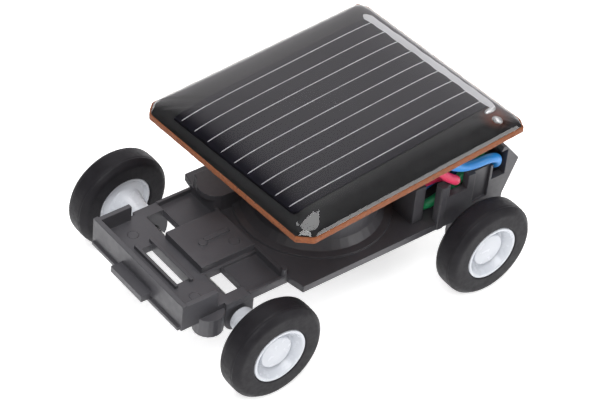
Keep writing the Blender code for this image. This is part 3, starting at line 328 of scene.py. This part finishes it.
def skin(name, points, finish_slot, body, instead_of=(), ring=True, loop=False, sharp=40.0):
    """Rows and columns of points made one closed surface; ring joins the last column to the
    first, and loop the last row to the first."""
    rows, columns, _ = points.shape
    index = np.arange(rows * columns).reshape(rows, columns)
    index = np.hstack([index, index[:, :1]]) if ring else index
    index = np.vstack([index, index[:1]]) if loop else index
    faces = np.stack([index[:-1, :-1], index[:-1, 1:], index[1:, 1:], index[1:, :-1]], axis=-1)
    mesh = bpy.data.meshes.new(name)
    mesh.from_pydata(points.reshape(-1, 3).tolist(), [], faces.reshape(-1, 4).tolist())
    bm = bmesh.new()
    bm.from_mesh(mesh)
    bmesh.ops.remove_doubles(bm, verts=bm.verts, dist=2e-7)
    bmesh.ops.dissolve_degenerate(bm, edges=bm.edges, dist=1e-7)
    bmesh.ops.holes_fill(bm, edges=bm.edges)
    bmesh.ops.recalc_face_normals(bm, faces=bm.faces)
    bm.to_mesh(mesh)
    bm.free()
    mesh.materials.append(finish_slot)
    mesh.shade_smooth()
    mesh.set_sharp_from_angle(angle=math.radians(sharp))
    piece = bpy.data.objects.new(name, mesh)
    bpy.context.scene.collection.objects.link(piece)
    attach(piece, body)
    if instead_of:
        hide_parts(*instead_of)
    print(f"{name}: {len(mesh.vertices)} points, {len(mesh.polygons)} faces")
    return piece


def rounded(corners, cut, steps=5, closed=False):
    """Each corner of a line is swapped for a curve: (1-t)^2 A + 2t(1-t) corner + t^2 B, where A
    and B lie on its two sides, the cut length away (never past halfway)."""
    corners = np.asarray(corners, float)
    before = np.roll(corners, 1, axis=0) - corners
    after = np.roll(corners, -1, axis=0) - corners
    reach_before = np.linalg.norm(before, axis=1, keepdims=True)
    reach_after = np.linalg.norm(after, axis=1, keepdims=True)
    cut = np.broadcast_to(np.asarray(cut, float).reshape(-1, 1), reach_before.shape)
    cut = np.minimum(cut, 0.45 * np.minimum(reach_before, reach_after))
    start = corners + before / reach_before * cut
    end = corners + after / reach_after * cut
    t = np.linspace(0, 1, steps)[None, :, None]
    curve = (1 - t) ** 2 * start[:, None] + 2 * t * (1 - t) * corners[:, None] + t ** 2 * end[:, None]
    if closed:
        return curve.reshape(-1, corners.shape[1])
    inner = curve[1:-1].reshape(-1, corners.shape[1])
    return np.vstack([corners[:1], inner, corners[-1:]])


def lathe(profile, centre, side, around=96):
    """A profile of (radius, height) turned about an axis along Y: the point at angle a is
    centre + (r cos a, side * height, r sin a)."""
    angle = np.arange(around) * 2 * np.pi / around
    radius, height = np.asarray(profile, float).T
    return np.stack([
        centre[0] + radius[:, None] * np.cos(angle),
        centre[1] + side * np.repeat(height[:, None], around, axis=1),
        centre[2] + radius[:, None] * np.sin(angle)], axis=-1)


# %% [markdown]
# ## Tyres
# Each tyre is a moulded ring of satin rubber. Its section is a rounded block: a nearly flat tread
# that bulges slightly, rounded shoulders, and a sidewall that dips towards the hub. Two faint
# ridges show where the mould's halves met. The section is turned about the axle.

# %% tyres
TYRE_R = 4.05 * MM
TYRE_HALF = 1.19 * MM
TYRE_BORE = 2.34 * MM


def tyre_section():
    """Closed (radius, height) loop: bore, sidewall, shoulder, ridge, crowned tread, and back."""
    half_loop = np.array([
        [TYRE_BORE, 0.00], [TYRE_BORE, 1.12 * MM], [TYRE_BORE + 0.10 * MM, TYRE_HALF],
        [2.95 * MM, TYRE_HALF - 0.015 * MM], [3.62 * MM, 1.17 * MM], [3.95 * MM, 0.80 * MM],
        [4.01 * MM, 0.70 * MM], [4.00 * MM, 0.64 * MM], [4.035 * MM, 0.52 * MM], [TYRE_R, 0.00]])
    cut = np.array([0, 0.04, 0.05, 0.15, 0.30, 0.12, 0.02, 0.03, 0.1, 0]) * MM
    side = rounded(half_loop, cut, steps=6)
    other = side[::-1] * (1, -1)
    return np.vstack([side, other[1:-1]])


# %% [markdown]
# ## Hubs
# A hub is a white pressing. Seen from outside it has a bright lip, a cone that runs in from the
# lip, a groove, and a centre disc that covers the axle's end. Seen from inside it is a dish with a
# conical boss that keeps the wheel off the chassis. One profile is turned for both ends of the
# car; only the boss has a different length.

# %% hubs and axles


def hub_section(boss):
    """From the middle of the outer face, over disc, groove, cone and lip, to the boss tip."""
    corners = np.array([
        [0.0, 0.735], [1.34, 0.715], [1.43, 0.34], [1.62, 0.32], [2.02, 1.10], [2.10, 1.18],
        [2.27, 1.18], [2.30, 1.10], [2.30, -1.08], [2.12, -1.10], [1.95, -0.86], [1.45, -1.02],
        [0.98, -boss / MM + 0.05], [0.90, -boss / MM], [0.53, -boss / MM], [0.52, 0.20],
        [0.0, 0.20]]) * MM
    return rounded(corners, 0.075 * MM, steps=5)


def axle_section(reach):
    """A bar with a small rounded end, as (radius, height) from one end to the other."""
    end = np.array([[0.0, reach], [0.42 * MM, reach], [0.5 * MM, reach - 0.08 * MM], [0.5 * MM, 0.0]])
    side = rounded(end, 0.03 * MM, steps=4)
    return np.vstack([side, (side[::-1] * (1, -1))[1:]])


for end_name, boss_reach in (("front", 3.71 * MM), ("rear", 2.17 * MM)):
    wheels_body = end_name + "_wheels"
    low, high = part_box(end_name + "_axle")
    axle_x = (low[0] + high[0]) / 2
    axle_z = (low[2] + high[2]) / 2
    skin(end_name + "_axle_bar", lathe(axle_section(high[1]), (axle_x, 0, axle_z), 1, 48), STEEL,
         wheels_body, (end_name + "_axle",))
    for side_name, side in (("left", 1), ("right", -1)):
        wheel = f"{end_name}_{side_name}"
        low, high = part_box(f"tyre_{wheel}")
        centre = (axle_x, (low[1] + high[1]) / 2, axle_z)
        skin(wheel + "_tyre", lathe(tyre_section(), centre, side, 128), RUBBER, wheels_body,
             (f"tyre_{wheel}",), loop=True)
        skin(wheel + "_hub", lathe(hub_section(boss_reach), centre, side, 112), WHITE, wheels_body,
             (f"hub_{wheel}",))

# %% [markdown]
# ## The panel's own frame
# The panel was stuck on by hand. It leans forward by nearly three degrees and to the right by two,
# and is turned a little. It is far easier to shape things flat and then tip them, so points are
# written as (along, across, above the board's underside) and one function carries whole grids of
# them to their place.

# %% panel frame
PITCH = math.radians(2.8)
ROLL = math.radians(1.95)
YAW = math.radians(1.66)
PANEL_AT = np.array([-2.8086, 0.18, 13.12]) * MM
BOARD_T = 0.5 * MM
HALF_LONG = 21.76 / 2 * MM
HALF_WIDE = 19.33 / 2 * MM


def turn(axis, angle):
    """The 3 x 3 matrix that turns a point about one axis: a unit axis u, cos and sin of the
    angle, as c I + (1 - c) u u^T + s [u]."""
    u = np.eye(3)[axis]
    cross = np.cross(np.eye(3), u)
    return math.cos(angle) * np.eye(3) + (1 - math.cos(angle)) * np.outer(u, u) + math.sin(angle) * cross


PANEL_TURN = turn(2, YAW) @ turn(1, PITCH) @ turn(0, ROLL)


def on_panel(points):
    """Carries flat points to the panel: PANEL_TURN p + PANEL_AT."""
    return points @ PANEL_TURN.T + PANEL_AT


def board_outline(corner, steps=7):
    """The board seen from above, with its four corners sawn off and slightly blunted."""
    front_x, front_y, rear_x, rear_y = 1.0 * MM, 0.96 * MM, 0.42 * MM, 0.85 * MM
    a, b = HALF_LONG, HALF_WIDE
    left = np.array([[a, b - front_y], [a - front_x, b], [rear_x - a, b], [-a, b - rear_y]])
    return rounded(np.vstack([left, (left * (1, -1))[::-1]]), corner, steps, closed=True)


def resampled(outline, count):
    """The same closed outline with evenly spaced points, by interpolating along its length."""
    closed = np.vstack([outline, outline[:1]])
    run = np.concatenate([[0], np.cumsum(np.linalg.norm(np.diff(closed, axis=0), axis=1))])
    at = np.linspace(0, run[-1], count, endpoint=False)
    return np.stack([np.interp(at, run, closed[:, k]) for k in (0, 1)], axis=-1)


def stacked(outline, insets, heights):
    """One ring of the outline for each (inset, height) pair; a ring is drawn in by scaling its
    length by 1 - inset / half length, and its width likewise."""
    insets = np.asarray(insets, float)[:, None]
    heights = np.broadcast_to(np.asarray(heights, float)[:, None], (len(insets), len(outline)))
    x = outline[None, :, 0] * np.clip(1 - insets / HALF_LONG, 0, 1)
    y = outline[None, :, 1] * np.clip(1 - insets / HALF_WIDE, 0, 1)
    return np.stack([x, y, heights], axis=-1)


# %% [markdown]
# ## The circuit board
# The board is brown pressed paper. It was sawn, so its edge is not quite straight and its corners
# are a little ragged. The edge is shaken by a few waves of fixed length, strongest halfway up.

# %% board
outline = resampled(board_outline(0.10 * MM), 720)
run = np.linspace(0, 2 * np.pi, len(outline), endpoint=False)
ragged = (0.012 * np.sin(37 * run + 0.4) + 0.010 * np.sin(83 * run + 1.9)
          + 0.009 * np.sin(151 * run + 4.0) + 0.006 * np.sin(229 * run)) * MM
board_insets = np.array([HALF_LONG, 2.0 * MM, 0.05 * MM, 0.02 * MM, 0.03 * MM, 0.02 * MM, 0.03 * MM,
                         0.06 * MM, 2.0 * MM, HALF_LONG])
board_heights = np.array([0, 0, 0, 0.05, 0.18, 0.32, 0.45, 0.5, 0.5, 0.5]) * MM
board_rings = stacked(outline, board_insets, board_heights)
shake = np.array([0, 0, 0.6, 0.9, 1.0, 1.0, 0.9, 0.6, 0, 0])
outward = outline / np.linalg.norm(outline, axis=1, keepdims=True)
board_rings[..., :2] -= shake[:, None, None] * (ragged + 0.02 * MM)[None, :, None] * outward[None]
skin("sawn_board", on_panel(board_rings), BOARD, "chassis", ("panel_board",))

# %% [markdown]
# ## What lies under the epoxy
# A black print covers the board. The silicon cell lies on it, not quite square, because it was put
# down by hand. Nine thin silver fingers collect the current and a wider bar across the back joins
# them and runs on a little past the cell. Two beads of solder join that bar to the board.

# %% black print and cell
CELL_LONG = 19.7 * MM
CELL_WIDE = 13.8 * MM
CELL_T = 0.25 * MM
CELL_AT = np.array([-0.16, -0.11]) * MM
CELL_TURN = math.radians(1.16)
LINK_AT = np.array([[-9.24, 7.29], [-9.04, 8.04]]) * MM


def laid_down(points):
    """Turns flat points about the upright axis by the cell's small turn, and shifts them."""
    x, y, z = np.moveaxis(points, -1, 0)
    cos_t, sin_t = math.cos(CELL_TURN), math.sin(CELL_TURN)
    return np.stack([x * cos_t - y * sin_t + CELL_AT[0], x * sin_t + y * cos_t + CELL_AT[1], z],
                    axis=-1)


halo_at = on_panel(np.array([*LINK_AT.mean(axis=0), BOARD_T]))
PRINT = black_print("black_board_print", tuple(halo_at), 1.5 * MM, (0.16, 0.035, 0.012))
print_insets = np.array([HALF_LONG, 0.16 * MM, 0.14 * MM, 0.16 * MM, HALF_LONG])
print_heights = BOARD_T + np.array([-0.03, -0.03, 0.0, 0.012, 0.012]) * MM
print_rings = stacked(resampled(board_outline(0.1 * MM), 240), print_insets, print_heights)
skin("black_print", on_panel(print_rings), PRINT, "chassis")

cell_corners = np.array([[1, 1], [-1, 1], [-1, -1], [1, -1]]) * (CELL_LONG / 2, CELL_WIDE / 2)
cell_outline = resampled(rounded(cell_corners, 0.08 * MM, 5, closed=True), 240)
cell_base = BOARD_T + 0.005 * MM
cell_scale = np.array([0.0, 0.998, 1.0, 1.0, 0.998, 0.0])[:, None, None]
cell_heights = cell_base + np.array([0, 0, 0.02, 0.23, 0.25, 0.25]) * MM
cell_rings = np.concatenate([
    cell_outline[None] * cell_scale,
    np.broadcast_to(cell_heights[:, None, None], (6, len(cell_outline), 1))], axis=-1)
skin("silicon_cell", on_panel(laid_down(cell_rings)), SILICON, "chassis", ("solar_cell",))

# %% silver fingers
FINGER_PITCH = 1.545 * MM
FINGER_HALF = 0.045 * MM
FINGER_T = 0.025 * MM
FINGER_MARGIN = 0.12 * MM       # bare cell in front of a finger
BAR_HALF = 0.36 * MM
BAR_T = 0.05 * MM
BAR_MARGIN = 0.5 * MM           # from the cell's rear edge to the middle of the bar
BAR_PAST = 0.5 * MM             # how far the bar runs on past the cell
CELL_TOP = cell_base + CELL_T


def print_line(start, end, half, height, lumps=0.0, steps=120):
    """A printed line: a low half-oval section, half wide and height tall, carried from start to
    end; lumps widens and lifts it by slow waves. Both ends shrink to a point."""
    t = np.linspace(0, 1, steps)
    path = start + (end - start) * t[:, None]
    along = (end - start) / np.linalg.norm(end - start)
    across = np.array([-along[1], along[0], 0])
    length = np.linalg.norm(end - start)
    wave = 1 + lumps * (np.sin(t * length / (0.9 * MM) + 1.1) * np.sin(t * length / (0.37 * MM)) + 0.3)
    taper = np.clip(np.minimum(t, 1 - t) * length / (1.5 * half), 0, 1) ** 0.5
    angle = np.linspace(0, 2 * np.pi, 10, endpoint=False)
    width = (half * wave * taper)[:, None, None]
    tall = (height * wave * taper)[:, None, None]
    return (path[:, None] + width * np.cos(angle)[None, :, None] * across
            + tall * np.sin(angle)[None, :, None] * np.array([0, 0, 1.0]))


bar_x = -CELL_LONG / 2 + BAR_MARGIN
for number in range(9):
    across = (number - 4) * FINGER_PITCH
    line = print_line(np.array([bar_x, across, CELL_TOP]),
                      np.array([CELL_LONG / 2 - FINGER_MARGIN, across, CELL_TOP]), FINGER_HALF, FINGER_T)
    skin(f"silver_finger_{number + 1}", on_panel(laid_down(line)), SILVER, "chassis")
bus = print_line(np.array([bar_x, -CELL_WIDE / 2 - BAR_PAST, CELL_TOP]),
                 np.array([bar_x, CELL_WIDE / 2 + BAR_PAST, CELL_TOP]), BAR_HALF, BAR_T,
                 lumps=0.14, steps=400)
skin("silver_busbar", on_panel(laid_down(bus)), SILVER, "chassis", ("contact_grid",))

# %% solder beads beside the cell


def bead(centre, long_half, wide_half, height, turn, rows=16, columns=32):
    """A drop: half an ellipsoid over a centre, its long side turned by an angle."""
    lift = np.linspace(-0.2, np.pi / 2, rows)[:, None]
    angle = np.linspace(0, 2 * np.pi, columns, endpoint=False)[None]
    x = long_half * np.cos(lift) * np.cos(angle)
    y = wide_half * np.cos(lift) * np.sin(angle)
    return np.stack([
        centre[0] + x * math.cos(turn) - y * math.sin(turn),
        centre[1] + x * math.sin(turn) + y * math.cos(turn),
        centre[2] + height * np.sin(lift) * np.ones_like(angle)], axis=-1)


near_bead = bead((*(LINK_AT[0] + np.array([0.02, -0.22]) * MM), CELL_TOP - 0.05 * MM),
                 0.58 * MM, 0.26 * MM, 0.16 * MM, math.radians(6))
skin("link_bead_cell", on_panel(near_bead), SOLDER, "chassis", ("cell_link",))
far_bead = bead((*LINK_AT[1], BOARD_T), 0.34 * MM, 0.42 * MM, 0.26 * MM, math.radians(20))
skin("link_bead_board", on_panel(far_bead), SOLDER, "chassis")

# %% [markdown]
# ## The drop of epoxy
# Epoxy is poured on the board and held back only by its edge, so it is steep at the rim, bends over
# quickly, and then rises slowly to a nearly flat top. Its height is H - A e^(-s/a) - B e^(-s/b),
# where s is the way in from the rim. Near a corner two sides count: s is a smooth minimum of the
# distances to all eight sides. A few slow waves keep it from looking machined. The drop reaches
# slightly into the board below, so that no sliver of air lies between them and light passes
# straight from one to the other.

# %% epoxy drop
DROP_H = 1.30 * MM
SLOW_RISE = 1.00 * MM
SLOW_REACH = 1.9 * MM
STEEP_RISE = 0.30 * MM
STEEP_REACH = 0.35 * MM
RIM = 0.13 * MM
DIP = 0.04 * MM                 # how far the drop reaches into the board
FINE_EDGE = 2.4 * MM            # rings lie closer together this near the rim


def way_in(points, sharpness=3.0):
    """Smooth minimum of the distances d to the eight sides: (sum of d^-n)^(-1/n)."""
    ends = board_outline(0.0, 1)
    along = np.roll(ends, -1, axis=0) - ends
    along /= np.linalg.norm(along, axis=1, keepdims=True)
    inward = np.stack([-along[:, 1], along[:, 0]], axis=-1)
    inward *= -np.sign(np.sum(inward * ends, axis=1))[:, None]
    distance = np.einsum("...k,ik->...i", points, inward) - np.sum(ends * inward, axis=1)
    distance = np.maximum(distance - RIM, 1e-7)
    return np.sum(distance ** -sharpness, axis=-1) ** (-1 / sharpness)


drop_outline = resampled(board_outline(0.30 * MM, 12), 480)
base_insets = [HALF_LONG, 0.4 * MM, RIM]
base = len(base_insets)
insets = np.concatenate([base_insets, RIM + FINE_EDGE * np.linspace(0, 1, 40) ** 2])
lower = stacked(drop_outline, insets, np.zeros(len(insets)))
shrink = 1 - np.linspace(0, 1, 46)[1:]
middle = lower[-1][None] * shrink[:, None, None]
drop = np.concatenate([lower, middle])
from_rim = way_in(drop[base:, :, :2])
from_rim = np.maximum(from_rim - from_rim[:1], 0.0)
rise = (DROP_H - SLOW_RISE * np.exp(-from_rim / SLOW_REACH)
        - STEEP_RISE * np.exp(-from_rim / STEEP_REACH))
drop[:base, :, 2] = BOARD_T - DIP
drop[base:, :, 2] = BOARD_T + rise
x, y = drop[..., 0] / MM, drop[..., 1] / MM
slow = 0.010 * np.sin(0.55 * x + 0.3 * y + 0.8) + 0.008 * np.sin(0.85 * y - 0.35 * x + 2.1)
above = np.clip((drop[..., 2] - BOARD_T) / DROP_H, 0, 1)
drop[..., 2] += slow * above * MM
skin("epoxy_drop", on_panel(drop), EPOXY, "chassis", ("epoxy_dome",), sharp=60.0)

# %% [markdown]
# ## Glue and solder under the board
# The panel is held by a ring of white glue squeezed out of the joint, with a drop standing proud
# of the drum at one place. Under the board, three solder joints hold the wires.

# %% glue and solder joints
pad_low, pad_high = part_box("glue_pad")
pad_at = (np.array(pad_low) + np.array(pad_high)) / 2 - PANEL_AT
GLUE_AT = (pad_at @ PANEL_TURN)[:2]


def squeezed_glue(radius, thick):
    """A disc whose edge bulges by a half circle and whose radius wanders by slow waves."""
    angle = np.linspace(0, 2 * np.pi, 160, endpoint=False)[None]
    wander = 1 + 0.012 * np.sin(3 * angle + 1) + 0.008 * np.sin(7 * angle)
    lift = np.linspace(-np.pi / 2, np.pi / 2, 12)[:, None]
    bulge = radius * wander + thick / 2 * np.cos(lift)
    z = thick / 2 * np.sin(lift) * np.ones_like(angle)
    rings = np.stack([bulge * np.cos(angle), bulge * np.sin(angle), z], axis=-1)
    pole = np.zeros((1, 160, 3))
    return np.concatenate([pole - (0, 0, thick / 2), rings, pole + (0, 0, thick / 2)])


glue = squeezed_glue(4.86 * MM, 0.27 * MM) + np.array([*GLUE_AT, -0.165 * MM])
skin("squeezed_glue", on_panel(glue), GLUE, "chassis", ("glue_pad",))
drop_angle = math.radians(66)
glue_drop = bead((0, 0, 0), 0.42 * MM, 0.20 * MM, 0.24 * MM, drop_angle + math.pi / 2)
glue_drop[..., 2] *= -1
glue_drop += np.array([GLUE_AT[0] + 5.08 * MM * math.cos(drop_angle),
                       GLUE_AT[1] + 5.08 * MM * math.sin(drop_angle), -0.10 * MM])
skin("glue_drop", on_panel(glue_drop), GLUE, "chassis")

for colour, spot in (("red", (-4.62, 5.63)), ("blue", (-3.52, 7.33)), ("green", (-7.12, 4.73))):
    joint = bead((spot[0] * MM, spot[1] * MM, 0.0), 0.72 * MM, 0.68 * MM, 0.36 * MM, 0.3)
    joint[..., 2] *= -1
    skin(f"solder_cone_{colour}", on_panel(joint), SOLDER, "chassis", (f"solder_{colour}",))

# %% [markdown]
# ## Wires
# Three short insulated wires leave the board, pass over the gearbox wall through its notches and
# end in a block beside the motor. Each is a round section carried along a smooth curve through a
# few points; the section is kept from twisting by projecting its last direction forward.

# %% wires
REAR_X = -10.82
AXLE_Z = 4.05
WIRE_R = 0.38 * MM


def smooth_route(points, steps):
    """Catmull-Rom curve: between b and c, with neighbours a and d, it is half of
    2b + (c-a)t + (2a-5b+4c-d)t^2 + (3b-a-3c+d)t^3."""
    points = np.asarray(points, float)
    ends = np.vstack([2 * points[0] - points[1], points, 2 * points[-1] - points[-2]])
    a, b, c, d = (ends[i:len(ends) - 3 + i, None] for i in range(4))
    t = np.linspace(0, 1, steps, endpoint=False)[None, :, None]
    curve = 0.5 * (2 * b + (c - a) * t + (2 * a - 5 * b + 4 * c - d) * t ** 2
                   + (3 * b - a - 3 * c + d) * t ** 3)
    return np.vstack([curve.reshape(-1, 3), points[-1:]])


def tube(path, radius, around=24):
    """The point at angle a is path + radius (normal cos a + binormal sin a); the ends are rounded
    by shrinking the last rings."""
    heading = np.gradient(path, axis=0)
    heading /= np.linalg.norm(heading, axis=1, keepdims=True)
    normal = np.cross(heading[0], (0.3, 0.5, 0.8))
    normals = [normal / np.linalg.norm(normal)]
    for direction in heading[1:]:
        carried = normals[-1] - direction * (normals[-1] @ direction)
        normals.append(carried / np.linalg.norm(carried))
    normals = np.array(normals)
    binormals = np.cross(heading, normals)
    angle = np.linspace(0, 2 * np.pi, around, endpoint=False)[None, :, None]
    size = np.full(len(path), radius)
    size[[0, -1]] *= 0.75
    return path[:, None] + size[:, None, None] * (
        normals[:, None] * np.cos(angle) + binormals[:, None] * np.sin(angle))


def joint_start(spot):
    """Where a wire leaves its solder: two points straight down from the board's underside."""
    below = np.array([[*np.array(spot), -0.22], [*np.array(spot), -1.12]]) * MM
    return on_panel(below) / MM


R, Z = REAR_X, AXLE_Z
end_x = -7.27
routes = {
    "red": (WIRE_RED, [*joint_start((-4.62, 5.63)), (R + 3.4, 6.6, Z + 7.5), (R + 2.4, 7.15, Z + 6.15),
            (R + 1.45, 7.25, Z + 5.4), (R + 1.1, 6.6, Z + 4.8), (R + 1.5, 5.7, Z + 4.65),
            (R + 2.7, 5.3, Z + 4.3), (end_x - 0.6, 5.3, Z + 4.2), (end_x, 5.3, Z + 4.2)]),
    "blue": (WIRE_BLUE, [*joint_start((-3.52, 7.33)), (R + 3.0, 7.6, Z + 8.0), (R + 1.9, 7.45, Z + 7.1),
             (R + 0.8, 7.35, Z + 6.5), (R - 0.4, 7.3, Z + 6.2), (R - 1.7, 7.3, Z + 6.1),
             (R - 2.7, 7.2, Z + 5.65), (R - 3.0, 6.9, Z + 4.85), (R - 2.7, 6.1, Z + 4.5),
             (R - 1.5, 5.3, Z + 3.95), (R + 0.8, 4.6, Z + 3.4), (R + 2.6, 4.75, Z + 3.15),
             (end_x - 0.6, 4.8, Z + 3.1), (end_x, 4.8, Z + 3.1)]),
    "green": (WIRE_GREEN, [*joint_start((-7.12, 4.73)), (R - 0.2, 5.6, Z + 8.0), (R - 1.5, 6.1, Z + 7.0),
              (R - 2.3, 6.1, Z + 6.2), (R - 2.4, 5.7, Z + 5.4), (R - 1.6, 6.3, Z + 4.9),
              (R - 0.2, 6.4, Z + 4.6), (R + 1.0, 6.3, Z + 3.6), (R + 2.3, 5.9, Z + 2.6),
              (end_x - 0.6, 5.7, Z + 2.4), (end_x, 5.7, Z + 2.4)])}
for colour, (insulation, points) in routes.items():
    path = smooth_route(points, 12) * MM
    skin(f"{colour}_lead", tube(path, WIRE_R), insulation, "chassis",
         (f"wire_{colour}",))
    length = float(np.linalg.norm(np.diff(path, axis=0), axis=1).sum())
    print(colour, "lead is", round(length / MM, 1), "mm")

# %% [markdown]
# ## Marks of the mould
# Moulded parts carry small round marks where pins pushed them out. Each is a ring a hundredth of
# a millimetre high: a half-round section turned about an upright axis.

# %% ejector marks
PLATE_TOP = 5.85 * MM
FRONT_X = 9.63 * MM
MARK_R = 0.42 * MM
MARK_HALF = 0.03 * MM


def pin_mark(centre, radius, half, columns=48):
    """A ring: the section (half cos b, half sin b) at each angle a round an upright axis."""
    a = np.linspace(0, 2 * np.pi, columns, endpoint=False)[:, None]
    b = np.linspace(0, 2 * np.pi, 8, endpoint=False)[None]
    out = radius + half * np.cos(b)
    return np.stack([centre[0] + out * np.cos(a), centre[1] + out * np.sin(a),
                     centre[2] + 0.5 * half * np.sin(b) * np.ones_like(a)], axis=-1)


marks = {"tray_left": (FRONT_X + 2.7 * MM, 4.0 * MM, PLATE_TOP),
         "tray_right": (FRONT_X + 2.7 * MM, -3.9 * MM, PLATE_TOP),
         "pad": (FRONT_X - 2.9 * MM, 1.2 * MM, PLATE_TOP + 0.6 * MM)}
for place_name, centre in marks.items():
    skin(f"pin_mark_{place_name}", pin_mark(centre, MARK_R, MARK_HALF), GREY, "chassis",
         loop=True)

# %% [markdown]
# ## The solids that are right as they are
# The chassis is a moulding of flat walls, and its CAD solid already has that shape; its finish
# rounds the edges in shading. The motor and gears inside also keep their solids.

# %% finishes for the carried-over solids
carried = {
    "chassis": GREY, "gear_cover": GREY, "terminal_block": GREY, "motor_can": PLATED,
    "ring_magnet": FERRITE, "motor_cap": WHITE, "motor_bush_lower": BRASS, "motor_bush_upper": BRASS,
    "brush_left": COPPER, "brush_right": COPPER, "cluster_pin": STEEL, "idler_pin": STEEL,
    "crown_gear": NATURAL, "cluster_gear": NATURAL, "idler_gear": NATURAL, "motor_shaft": STEEL,
    "motor_pinion": BRASS, "rotor_core": PLATED, "rotor_coil_1": COPPER, "rotor_coil_2": COPPER,
    "rotor_coil_3": COPPER, "commutator": COPPER}
for node_name, node_finish in carried.items():
    node = NODES[node_name]
    node.data.materials.clear()
    node.data.materials.append(node_finish)
print(len(carried), "solids carried over")
